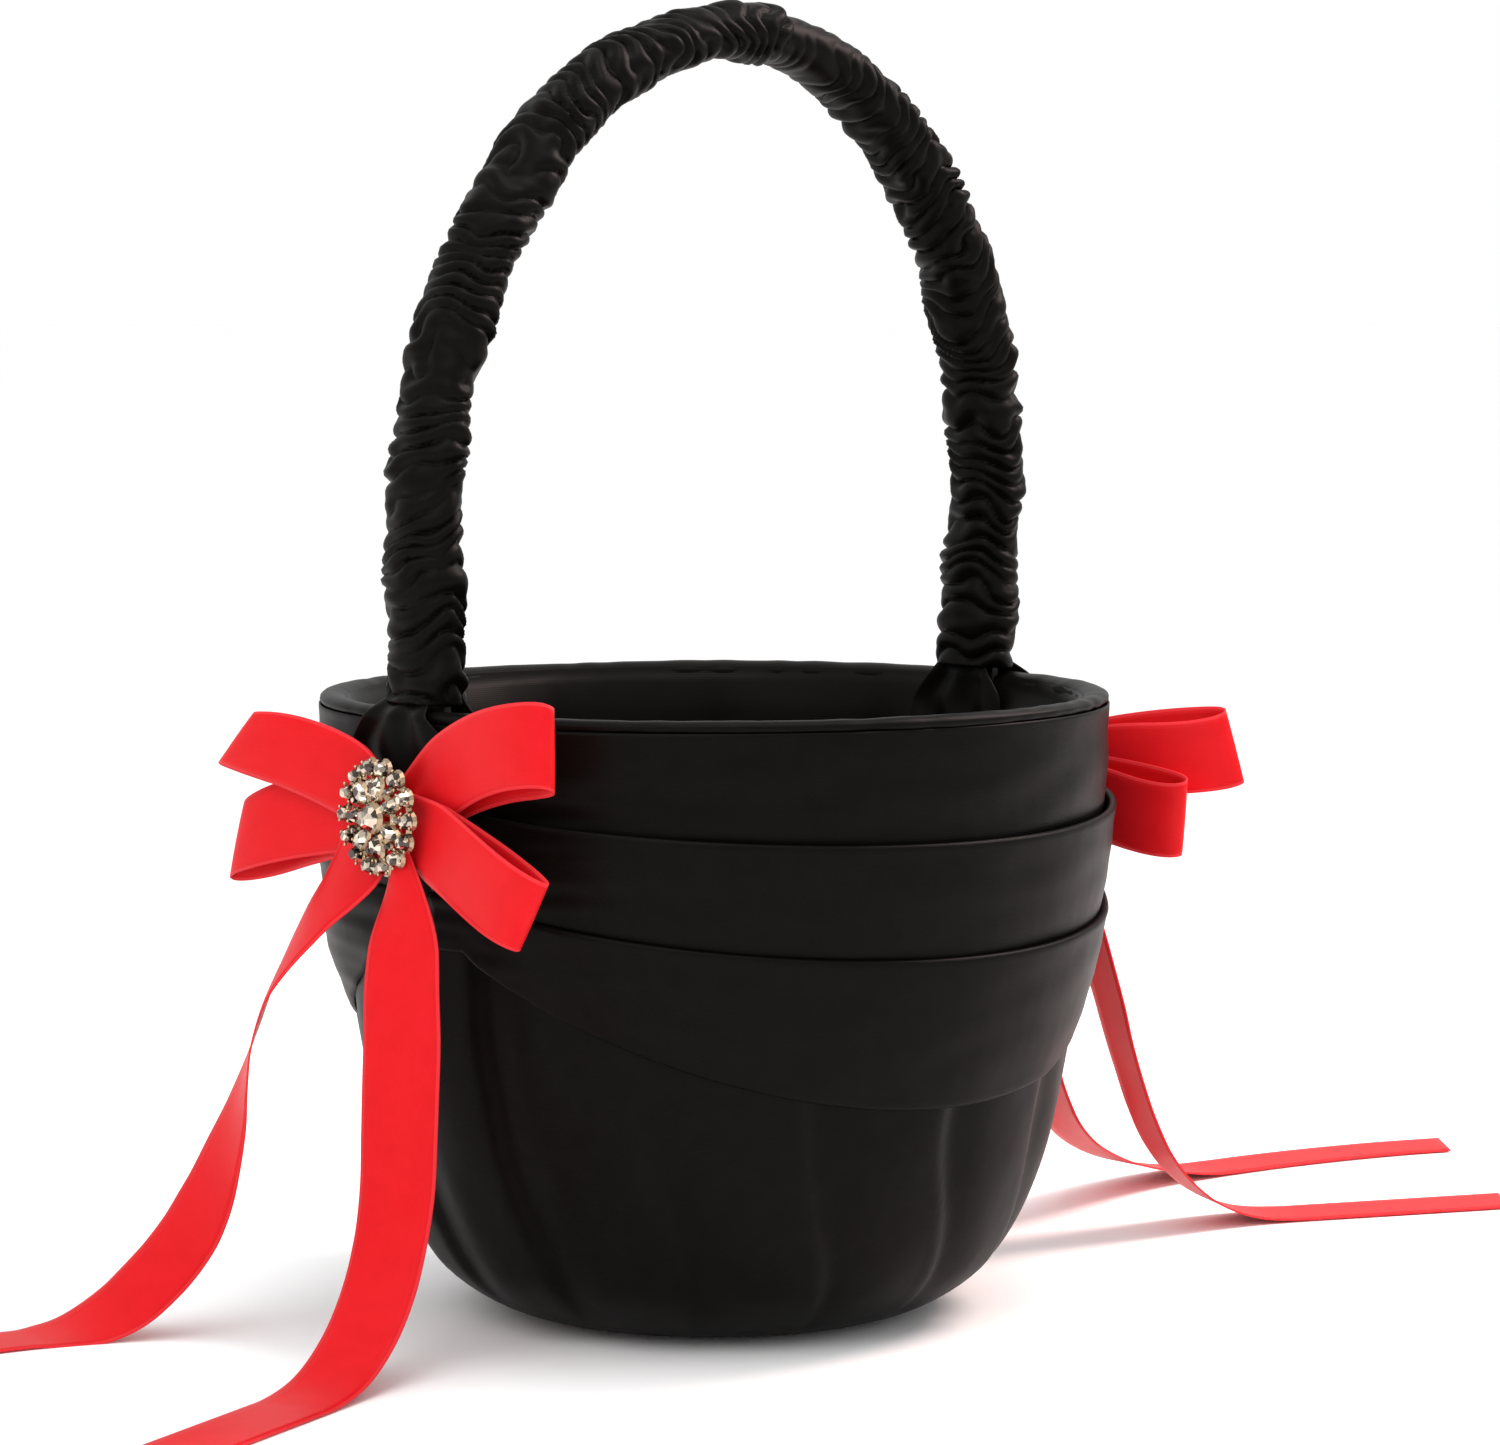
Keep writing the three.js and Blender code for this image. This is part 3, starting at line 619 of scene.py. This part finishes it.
rim = lay_cloth("rolled_rim", 360, 20, [rim_place], black_satin, RIM_CUT)
install(rim, "satin_black", "rim_binding")

# %% [markdown]
# The lining is cut in panels, so it shows soft upright creases inside, where two panels are joined.
# It follows the cover's shape, set in by the lining's depth below the outside.

# %% Lining
LINING_PANELS = 12
LINING_DEPTH = 6.35
LINING_FOOT = 9.3
LINING_HEIGHT = RIM_TOP - 1.2 - LINING_FOOT
LINING_FLARE = 2.6  # how far its top spreads towards the rim
LINING_PUFF = 0.9  # how far a panel stands in from the wall between its seams
LINING_CUT = (390, 115)


def lining_place(along, across):
    angle = -360 * along
    height = LINING_FOOT + LINING_HEIGHT * across
    panel = (angle / 360 * LINING_PANELS + 0.4) % 1
    seam = math.exp(-((min(panel, 1 - panel) / 0.07) ** 2))
    lift = LINING_PUFF * math.sin(math.pi * panel) - 0.5 * seam
    lift += 0.5 * round_wobble(angle, 18, height / 20)
    inside = cover_radius(height - 2 * (1 - ease(height, 10, 40))) - LINING_DEPTH
    inside += LINING_FLARE * ease(height, WALL_TOP - 6, RIM_TOP)
    foot = 1 - ease(height, LINING_FOOT, 20)
    return on_wall(angle, inside - lift * ease(WALL_TOP - height, 0, 12) - 1.5 * foot, height)


lining = lay_cloth("panelled_lining", 240, 36, [lining_place], black_satin, LINING_CUT)
install(lining, "satin_black", "lining_wall")

# %% [markdown]
# The floor of the basket is a padded disc. It is spun from half a cushion's outline: flat
# underneath, rounded at its edge and crowned in the middle.

# %% Padded floor
pad_low, pad_high = (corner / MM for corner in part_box("floor_pad"))
PAD_RADIUS = pad_high.x
PAD_OUTLINE = [
    (0, pad_low.z), (PAD_RADIUS - 1.2, pad_low.z), (PAD_RADIUS, pad_low.z + 0.9),
    (PAD_RADIUS - 1.4, pad_high.z - 0.3), (PAD_RADIUS * 0.6, pad_high.z + 0.5),
    (0, pad_high.z + 0.9),
]

pad_mesh = bmesh.new()
outline = [
    pad_mesh.verts.new(Vector((radius, 0, height)) * MM)
    for radius, height in smooth_curve(PAD_OUTLINE, 5)
]
rails = [pad_mesh.edges.new(pair) for pair in zip(outline, outline[1:])]
bmesh.ops.spin(
    pad_mesh, geom=outline + rails, cent=(0, 0, 0), axis=(0, 0, 1), angle=2 * math.pi,
    steps=64, use_merge=True, use_duplicate=False)
bmesh.ops.remove_doubles(pad_mesh, verts=pad_mesh.verts, dist=0.00002)
bmesh.ops.recalc_face_normals(pad_mesh, faces=pad_mesh.faces)
for vert in pad_mesh.verts:
    if vert.co.z > pad_low.z * MM + 0.001:
        vert.co.z += 0.25 * MM * wobble(vert.co.x / 0.012, vert.co.y / 0.012, 4)
pad = install(finish_mesh("padded_floor", pad_mesh, black_satin), "satin_black", "floor_pad")

# %% [markdown]
# ## The handle
# A flat band bent to an arch is dressed in two satin sleeves, each longer than the stretch it
# covers and pushed together into gathers. The arch is given by its span and its rise, and leans a
# little to the far side.

# %% The handle's middle line
HANDLE_HALF_SPAN = 71.5
HANDLE_SPRING = 150
HANDLE_RISE = 93
HANDLE_LEAN = 5
SLEEVE_FOOT = 119.5
SLEEVE_FOOT_SPAN = 69.7
SLEEVE_HALF_WIDTH = 7.9
SLEEVE_HALF_DEPTH = 5.3


def handle_line(start, end, steps=400):
    """Points [x, height] of the band's middle, from a turn of -90 degrees at the near spring to
    90 at the far one. Past 90 the line runs down the leg, a degree for each half millimetre."""
    line = []
    for step in range(steps + 1):
        turn = mix(start, end, step / steps)
        arch = math.radians(min(abs(turn), 90))
        x = HANDLE_HALF_SPAN * math.sin(arch)
        height = HANDLE_SPRING + HANDLE_RISE * math.cos(arch) - max(abs(turn) - 90, 0) / 2
        x = mix(SLEEVE_FOOT_SPAN, x, ease(height, SLEEVE_FOOT, HANDLE_SPRING))
        share = max(height - SLEEVE_FOOT, 0) / (HANDLE_SPRING + HANDLE_RISE - SLEEVE_FOOT)
        line.append([math.copysign(x, turn) + HANDLE_LEAN * share, height])
    return line


FOOT_TURN = 90 + 2 * (HANDLE_SPRING - SLEEVE_FOOT)
print("foot of the sleeves at", [round(x, 1) for x in handle_line(-FOOT_TURN, 0)[0]])

# %% [markdown]
# The near sleeve's end is pulled over the far one just past the crown, and the far one runs out of
# gathers there and lies almost smooth. The gathers are ridges that run round the band and wander,
# as pushed-up cloth does. A sine wave along the sleeve makes the ridges, and noise shifts them.

# %% Gathered sleeves
GATHER_SPACING = 3.6
GATHER_HEIGHT = 1.3
GATHERED_IN = 1.2  # a sleeve's flat length, over the length of handle it covers
SLEEVE_GIRTH = 44
SLEEVE_STEP = 0.004  # share of the length over which a direction is measured


def gathers(length, turn, seed):
    """The height of the gathered cloth, from about -1 to 1, at a place along and round a sleeve."""
    round_x, round_y = math.cos(turn), math.sin(turn)
    phase = length / GATHER_SPACING + 2 * wobble(length / 17, 0.5 * round_x, 0.5 * round_y + seed)
    phase += 0.8 * wobble(length / 6, round_x, round_y + seed)
    crown = abs(math.sin(math.pi * phase)) ** 0.8 - 0.62
    fullness = 0.8 + 0.9 * wobble(length / 6, round_x, round_y - seed)
    bulge = wobble(length / 9, 0.7 * round_x, 0.7 * round_y - seed)
    fine = wobble(length / 1.9, 1.3 * round_x, 1.3 * round_y - seed)
    return 1.35 * crown * fullness + 0.8 * bulge + 0.22 * fine


def sleeve(side, start, end, crown_end, seed):
    """crown_end says how the sleeve ends at the crown: bulging or running smooth."""
    line = handle_line(start, end)
    lengths = line_lengths(line, 2)
    total = lengths[-1]

    def place(along, across):
        x, height = at_share(line, lengths, along)
        before = Vector(at_share(line, lengths, max(along - SLEEVE_STEP, 0)))
        after = Vector(at_share(line, lengths, min(along + SLEEVE_STEP, 1)))
        tangent = (after - before).normalized()
        through = Vector((-tangent.y, 0, tangent.x))
        turn = 2 * math.pi * across
        to_crown = (1 - along) * total if crown_end == "bulging" else along * total
        size, rough = 1.0, 1.0
        if crown_end == "bulging":
            size = mix(0.83, 1, ease(to_crown, 14, 50))
            size *= 1 + 0.2 * math.exp(-(((to_crown - 7) / 6) ** 2))
            size *= math.sqrt(max(1 - (max(4 - to_crown, 0) / 4) ** 2, 0.12))
        else:
            rough = mix(0.25, 1, ease(to_crown, 12, 34))
            size = mix(0.84, 1, ease(to_crown, 4, 40))
        bump = GATHER_HEIGHT * rough * gathers(along * total, turn, seed)
        half_width = (SLEEVE_HALF_WIDTH + bump) * size
        half_depth = (SLEEVE_HALF_DEPTH + bump) * size
        point = Vector((x, 0, height)) + through * half_depth * math.sin(turn)
        return point + Vector((0, 1, 0)) * half_width * math.cos(turn)

    cut = (total * GATHERED_IN, SLEEVE_GIRTH)
    piece = lay_cloth(f"gathered_sleeve_{side}", 300, 60, [place], black_satin, cut)
    install(piece, "satin_black", f"handle_sleeve_{side}")
    return piece


CROWN_TURN = 7.5
sleeve("near", -FOOT_TURN, CROWN_TURN + 1, "bulging", 2.0)
sleeve("far", CROWN_TURN - 4, FOOT_TURN, "smooth", 31.0)

# %% [markdown]
# At each foot the sleeve is split and its two ends are spread over the rim, one flap outside
# behind the bow and one inside against the lining. A flap flares from the width of the handle
# and falls in a few upright folds.

# %% Sleeve hems
HEM_TOP = 122
HEM_NECK = 6.2  # half the width of a flap at its top
HEM_FEET = {"outside": (101, 16), "inside": (104, 12)}  # height of the lower edge, half width
HEM_STAND = 3.6


def hem(side, layer):
    """A flap at one foot. Its stand is how far it lies out from the cover."""
    outside = layer == "outside"
    middle = -90 if side == "near" else 90
    bottom, spread_half = HEM_FEET[layer]
    stand = HEM_STAND if outside else -(LINING_DEPTH + 1.2)

    def place(along, across):
        height = mix(bottom, HEM_TOP, across)
        half = mix(spread_half, HEM_NECK, ease(height, bottom + 8, HEM_TOP))
        sideways = mix(-half, half, along if outside else 1 - along)
        folds = math.cos(4.5 * math.pi * along + 1.5 * wobble(height / 9, 2))
        folds *= mix(0.9, 0.3, across)
        radius = cover_radius(min(height, WALL_TOP)) + stand + (folds if outside else -folds)
        radius += (-4.4 if outside else 0.8) * ease(height, 117.5, HEM_TOP)
        return on_wall(middle + math.degrees(sideways / radius), radius, height)

    cut = (1.1 * (spread_half + HEM_NECK), HEM_TOP - bottom)
    piece = lay_cloth(f"hem_{side}_{layer}", 48, 24, [place], black_satin, cut)
    install(piece, "satin_black", f"sleeve_hem_{side}_{layer}")
    return piece


for foot in ("near", "far"):
    for flap in ("outside", "inside"):
        hem(foot, flap)

# %% [markdown]
# ## The bows
# A bow is two strips of ribbon laid crosswise, each folded back on itself into two open loops and
# pinched together in the middle. A loop leaves the knot on its front, turns over a rounded end
# and comes back behind, a little lower, so a dark strip of its inside shows. As the bow is faced,
# a loop has a reach, a slope, an arch, and an end that may be turned from square.

# %% Loops of ribbon
BOW_RADIUS = 76
BOW_OFFSET = 3.2
BOW_FRAMES = {  # place of the knot's back, direction to the right, direction out
    "near": (Vector((-BOW_RADIUS, -BOW_OFFSET, 100)), Vector((0, -1, 0)), Vector((-1, 0, 0))),
    "far": (Vector((BOW_RADIUS, -BOW_OFFSET, 96)), Vector((0, 1, 0)), Vector((1, 0, 0))),
}
UP = Vector((0, 0, 1))
LOOP_SWELL = 5.2  # the larger, the wider a loop stands open
LOOP_SLIMNESS = 1.5  # the larger, the nearer to its end a loop opens
KNOT_HALF_WIDTH = 5.5
KNOT_FOLDS = 0.8
OPEN_FROM_KNOT = 0.32
LOOP_CUP = 0.5
BACK_SHORTER = 0.04  # the back of a loop is drawn in by up to this share
LOOP_CUT = 98  # length of the ribbon drawn on one loop
# Each strip's loop to the right, then to the left: reach, slope, how far its end is turned
# clockwise, arch, how far its end stands out, how far its back hangs below its front.
BOWS = {
    "near": {
        "rising": [(46, 20, 20, 3.5, 1, 2.5), (50, -10, 30, 2.5, 1, 2.5)],
        "falling": [(45, -18, 15, 0, 3.5, 1.7), (45, 15, 35, 3, 3.5, 3)],
    },
    "far": {
        "rising": [(44, 15, 0, 4, 0, 2.5), (45, -5, 0, 1, 2.5, 2)],
        "falling": [(44, -18, 0, 0, 3.5, 1), (46, 12, 8, 2, 15, 3)],
    },
}
STRIP_LIFT = {"rising": 1.2, "falling": 3.0}


def turned_by(vector, degrees):
    turn = math.radians(degrees)
    x, y = vector
    return Vector((
        x * math.cos(turn) - y * math.sin(turn),
        x * math.sin(turn) + y * math.cos(turn)))


def loop_place(bow, side, lift, loop):
    """side is 1 for the loop to the right and -1 for the one to the left."""
    length, slope, end_turn, arch, lean, drop = loop
    origin, right, out = BOW_FRAMES[bow]
    direction = turned_by((side, 0), side * slope)
    square = turned_by((0, 1), side * slope)

    def place(along, across):
        phase = 2 * math.pi * along
        reach = (1 - math.cos(phase)) / 2
        behind = ease(phase, 0.8 * math.pi, 1.35 * math.pi)
        opened = ease(reach, 0, OPEN_FROM_KNOT)
        flat = direction * length * reach + square * 4 * arch * reach * (1 - reach)
        half_width = mix(KNOT_HALF_WIDTH, RIBBON_WIDTH / 2, opened)
        flat += turned_by(square, -end_turn * reach**2) * half_width * (2 * across - 1)
        flat.y -= drop * behind * reach
        flat *= 1 - BACK_SHORTER * behind * reach
        swell = LOOP_SWELL * math.sin(phase) * reach**LOOP_SLIMNESS
        folds = KNOT_FOLDS * (1 - opened) * math.cos(4 * math.pi * across)
        cup = LOOP_CUP * opened * (1 - (2 * across - 1) ** 2) * math.sin(phase)
        height = lift + swell + folds + cup + lean * reach**1.5
        return origin + right * flat.x + UP * flat.y + out * height

    return place


def tie_strip(bow, slope):
    places = [
        loop_place(bow, side, STRIP_LIFT[slope], loop)
        for side, loop in zip((1, -1), BOWS[bow][slope])
    ]
    piece = lay_cloth(
        f"ribbon_{bow}_{slope}", 72, 10, places, red_ribbon, (LOOP_CUT, RIBBON_WIDTH),
        RIBBON_THICKNESS, offset=0)
    install(piece, "satin_red", f"bow_{bow}_strip_{slope}")
    return piece


for bow_name, strips in BOWS.items():
    for strip_slope in strips:
        tie_strip(bow_name, strip_slope)

# %% [markdown]
# ## The brooches
# The brooch is a cast, plated openwork disc: an outer circle of round stones, a ring of petals and
# one stone in the middle, with the ribbon showing through the gaps. The metal is champagne silver.
# The stones are glass with foil behind, so each facet throws back the light like a small mirror.
# Those reflections are painted: patches of dark brown and pale champagne are laid into the stones'
# colour.
# A stone is a few facets only, because dozens of them are set.

# %% Metal and stones
plated_metal, plate_tree, plate_shader = new_finish(
    "champagne plated metal", Metallic=1.0, Roughness=0.22, Base_Color=linear("#a68f74"))
plate_grain = add(
    plate_tree, "ShaderNodeTexNoise",
    {"Vector": add(plate_tree, "ShaderNodeTexCoord").outputs["Object"],
     "Scale": noise_scale(0.6), "Detail": 2.0})
plate_bump = add(
    plate_tree, "ShaderNodeBump",
    {"Strength": 0.3, "Distance": 0.05 * MM, "Height": plate_grain.outputs["Fac"]})
plate_tree.links.new(plate_bump.outputs["Normal"], plate_shader.inputs["Normal"])

foiled_glass, glass_tree, glass_shader = new_finish(
    "foil-backed cut glass", Metallic=0.9, Roughness=0.06, Coat_Weight=1.0, Coat_Roughness=0.03)
# Painted reflection: dark and light patches in the stones' colour stand in for what the facets
# mirror.
reflection_cells = add(
    glass_tree, "ShaderNodeTexVoronoi",
    {"Vector": add(glass_tree, "ShaderNodeTexCoord").outputs["Object"],
     "Scale": noise_scale(1.1)})
painted_reflection_share = add(
    glass_tree, "ShaderNodeMapRange",
    {"Value": reflection_cells.outputs["Color"], "From Min": 0.35, "From Max": 0.85})
painted_reflection_tint = add(
    glass_tree, "ShaderNodeMix",
    {"Factor": painted_reflection_share.outputs["Result"], "A": linear("#33241c"), "B": linear("#f4e3cd")},
    data_type="RGBA")
glass_tree.links.new(painted_reflection_tint.outputs["Result"], glass_shader.inputs["Base Color"])

# %% [markdown]
# One brooch is drawn at the origin, facing up, and a matrix carries it to each bow. Circles of
# stones are set by a loop, each stone in a slightly larger metal seat, and the outer ones with
# four round claws.

# %% Set a brooch
BROOCH_BACK = 6.1
RING_STONES, RING_RADIUS, RING_STONE = 14, 9.0, 1.62
PETALS, PETAL_RADIUS, PETAL_LENGTH, PETAL_WIDTH = 7, 5.3, 2.4, 1.25
DOME = 2.0
DOME_EDGE = 11
CLAW_SIZE, CLAW_HEIGHT = 0.36, 1.2


def brooch_dome(radius):
    """The brooch is domed: how high its face stands at a radius."""
    return DOME * (1 - (radius / DOME_EDGE) ** 2)


def cut_stone(bm, spot, size, long=1.0, turn=0.0, depth=0.9, sides=8):
    """A round or long stone: a low crown with a flat table. long stretches it outwards."""
    shape = (
        Matrix.Translation(spot) @ Matrix.Rotation(turn, 4, "Z")
        @ Matrix.Diagonal((size * long, size, size, 1)))
    bmesh.ops.create_cone(
        bm, cap_ends=True, segments=sides, radius1=1.0, radius2=0.55, depth=depth,
        matrix=shape @ Matrix.Translation((0, 0, depth / 2)))


def ring_spots(count, radius, lift, start=0.0):
    """Places round a circle, each with its direction from the middle."""
    for i in range(count):
        turn = 2 * math.pi * (i + start) / count
        spot = Vector((radius * math.cos(turn), radius * math.sin(turn), 0))
        yield spot + Vector((0, 0, lift + brooch_dome(radius))), turn


def seat(bow):
    """The matrix that carries a brooch drawn at the origin to its place, in metres."""
    origin, right, out = BOW_FRAMES[bow]
    axes = Matrix((right, UP, out)).transposed().to_4x4()
    place = Matrix.Translation((origin + out * BROOCH_BACK) * MM)
    return place @ axes @ Matrix.Scale(MM, 4)


def set_brooch(bow):
    metal, stones, middle = bmesh.new(), bmesh.new(), bmesh.new()
    for spot, turn in ring_spots(RING_STONES, RING_RADIUS, 0.2):
        cut_stone(metal, spot, RING_STONE + 0.3, turn=turn, depth=0.55, sides=12)
        cut_stone(stones, spot + Vector((0, 0, 0.7)), RING_STONE, turn=turn)
        for corner in range(4):
            claw = turn + math.pi / 4 + corner * math.pi / 2
            tip = Vector((math.cos(claw), math.sin(claw), 0)) * (RING_STONE + 0.1)
            bmesh.ops.create_icosphere(
                metal, subdivisions=1, radius=CLAW_SIZE,
                matrix=Matrix.Translation(spot + tip + Vector((0, 0, CLAW_HEIGHT))))
    for spot, turn in ring_spots(PETALS, PETAL_RADIUS, 0.3, 0.5):
        cut_stone(metal, spot, PETAL_WIDTH + 0.3, PETAL_LENGTH / PETAL_WIDTH, turn, 0.55, 12)
        cut_stone(
            stones, spot + Vector((0, 0, 0.7)), PETAL_WIDTH, PETAL_LENGTH / PETAL_WIDTH, turn)
    for spot, turn in ring_spots(PETALS, PETAL_RADIUS + 1, 0.2):
        cut_stone(metal, spot, 0.95, turn=turn, depth=0.6, sides=10)
        cut_stone(stones, spot + Vector((0, 0, 0.5)), 0.75, turn=turn)
    centre = Vector((0, 0, 0.4 + DOME))
    cut_stone(metal, centre, 3.0, depth=0.4, sides=16)
    cut_stone(middle, centre + Vector((0, 0, 0.9)), 2.5, depth=0.7)
    for count, radius in ((RING_STONES, RING_RADIUS), (PETALS, PETAL_RADIUS)):
        bmesh.ops.create_cone(
            metal, cap_ends=False, segments=4 * count, radius1=radius + 0.5, radius2=radius - 0.5,
            depth=0.5, matrix=Matrix.Translation((0, 0, 0.4 + brooch_dome(radius))))
    parts = (
        ("setting", metal, plated_metal, "brooch_metal", "setting"),
        ("stones", stones, foiled_glass, "crystal", "stone_ring"),
        ("middle_stone", middle, foiled_glass, "crystal", "centre_stone"),
    )
    for name, bm, finish, slot, node in parts:
        bmesh.ops.transform(bm, matrix=seat(bow), verts=bm.verts)
        bmesh.ops.recalc_face_normals(bm, faces=bm.faces)
        piece = finish_mesh(f"brooch_{bow}_{name}", bm, finish, smooth=False)
        install(piece, slot, f"brooch_{bow}_{node}")


for bow_name in BOW_FRAMES:
    set_brooch(bow_name)

# %% [markdown]
# ## The structure's finishes
# The pieces that the frame shows as they are get their finishes here. All are plain industrial
# materials: the bucket is moulded polypropylene, the handle band is extruded plastic, the discs
# are pressed board, and the rivets are aluminium.

# %% Structural finishes
def grained(name, code, grain_mm, depth_mm, **shader_values):
    """A solid material with a fine surface grain on the piece's own coordinates."""
    material, tree, shader = new_finish(name, **shader_values)
    spots = add(tree, "ShaderNodeTexCoord").outputs["Object"]
    grain = add(
        tree, "ShaderNodeTexNoise",
        {"Vector": spots, "Scale": noise_scale(grain_mm), "Detail": 4.0}).outputs["Fac"]
    darker = [channel * 0.75 for channel in linear(code)[:3]] + [1.0]
    tint = add(
        tree, "ShaderNodeMix", {"Factor": grain, "A": darker, "B": linear(code)},
        data_type="RGBA")
    bump = add(
        tree, "ShaderNodeBump", {"Strength": 0.4, "Distance": depth_mm * MM, "Height": grain})
    tree.links.new(tint.outputs["Result"], shader.inputs["Base Color"])
    tree.links.new(bump.outputs["Normal"], shader.inputs["Normal"])
    return material


STRUCTURE = {
    "bucket_core": grained("moulded polypropylene", "#2b2a28", 0.8, 0.05, Roughness=0.5),
    "handle_band": grained("extruded plastic band", "#24221f", 0.6, 0.03, Roughness=0.45),
    "base_disc": grained("pressed board", "#8a7a63", 1.5, 0.15, Roughness=0.9),
    "floor_board": grained("pressed board, inside", "#8a7a63", 1.5, 0.15, Roughness=0.9),
}
rivet_finish = grained("rolled aluminium", "#b9bbbd", 0.4, 0.02, Roughness=0.35, Metallic=1.0)
STRUCTURE.update({
    node: rivet_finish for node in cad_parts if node.startswith("handle_rivet")})
for node, finish in STRUCTURE.items():
    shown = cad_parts[node]
    shown.data.materials.clear()
    shown.data.materials.append(finish)

# %% [markdown]
# ## Studio
# The basket stands on a white floor in front of white light. Black satin shows its shape only by
# what it mirrors. A square key light stands at the left, a tall light at the right draws the bright
# ribs on its side, and one overhead draws the line along the rim.

# %% Floor and lights
FLOOR_HALF_SIZE = 60  # metres
AIM_HEIGHT = 0.1  # metres above the floor, where the lights point

bpy.context.scene.view_settings.view_transform = "Standard"
floor_finish, _, _ = new_finish("white paper", Base_Color=linear("#ffffff"), Roughness=1.0)
floor_mesh = bmesh.new()
bmesh.ops.create_grid(floor_mesh, x_segments=1, y_segments=1, size=FLOOR_HALF_SIZE)
finish_mesh("studio_floor", floor_mesh, floor_finish)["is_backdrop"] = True

world = bpy.data.worlds.new("white studio")
bpy.context.scene.world = world
world.use_nodes = True
world.node_tree.nodes["Background"].inputs["Color"].default_value = (1, 1, 1, 1)
world.node_tree.nodes["Background"].inputs["Strength"].default_value = 1.0

LIGHTS = {  # azimuth, elevation, distance, width, height, power, colour; degrees, metres, watts
    "key": (-70, 40, 1.3, 0.8, 0.8, 4, "#ffffff"),
    "side": (70, 45, 0.8, 0.2, 0.4, 6, "#ffe6e0"),
    "top": (-30, 80, 1.1, 0.5, 0.5, 4, "#ffffff"),
}
for name, (azimuth, elevation, distance, width, height, power, colour) in LIGHTS.items():
    light = bpy.data.lights.new(name, "AREA")
    light.shape, light.size, light.size_y, light.energy = "RECTANGLE", width, height, power
    light.color = linear(colour)[:3]
    lamp = bpy.data.objects.new(name, light)
    bpy.context.scene.collection.objects.link(lamp)
    around, above = math.radians(azimuth), math.radians(elevation)
    direction = Vector((
        math.sin(around) * math.cos(above), -math.cos(around) * math.cos(above), math.sin(above)))
    lamp.location = Vector((0, 0, AIM_HEIGHT)) + direction * distance
    lamp.rotation_mode = "QUATERNION"
    lamp.rotation_quaternion = (-direction).to_track_quat("-Z", "Y")

# %% Sizes and finish
bpy.context.view_layer.update()
visual_box = [list(corner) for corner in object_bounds()]
growth = [
    [round((cad - seen) / MM, 1) for cad, seen in zip(cad_box[0], visual_box[0])],
    [round((seen - cad) / MM, 1) for cad, seen in zip(cad_box[1], visual_box[1])],
]
print("growth past the frame's box, mm:", growth)
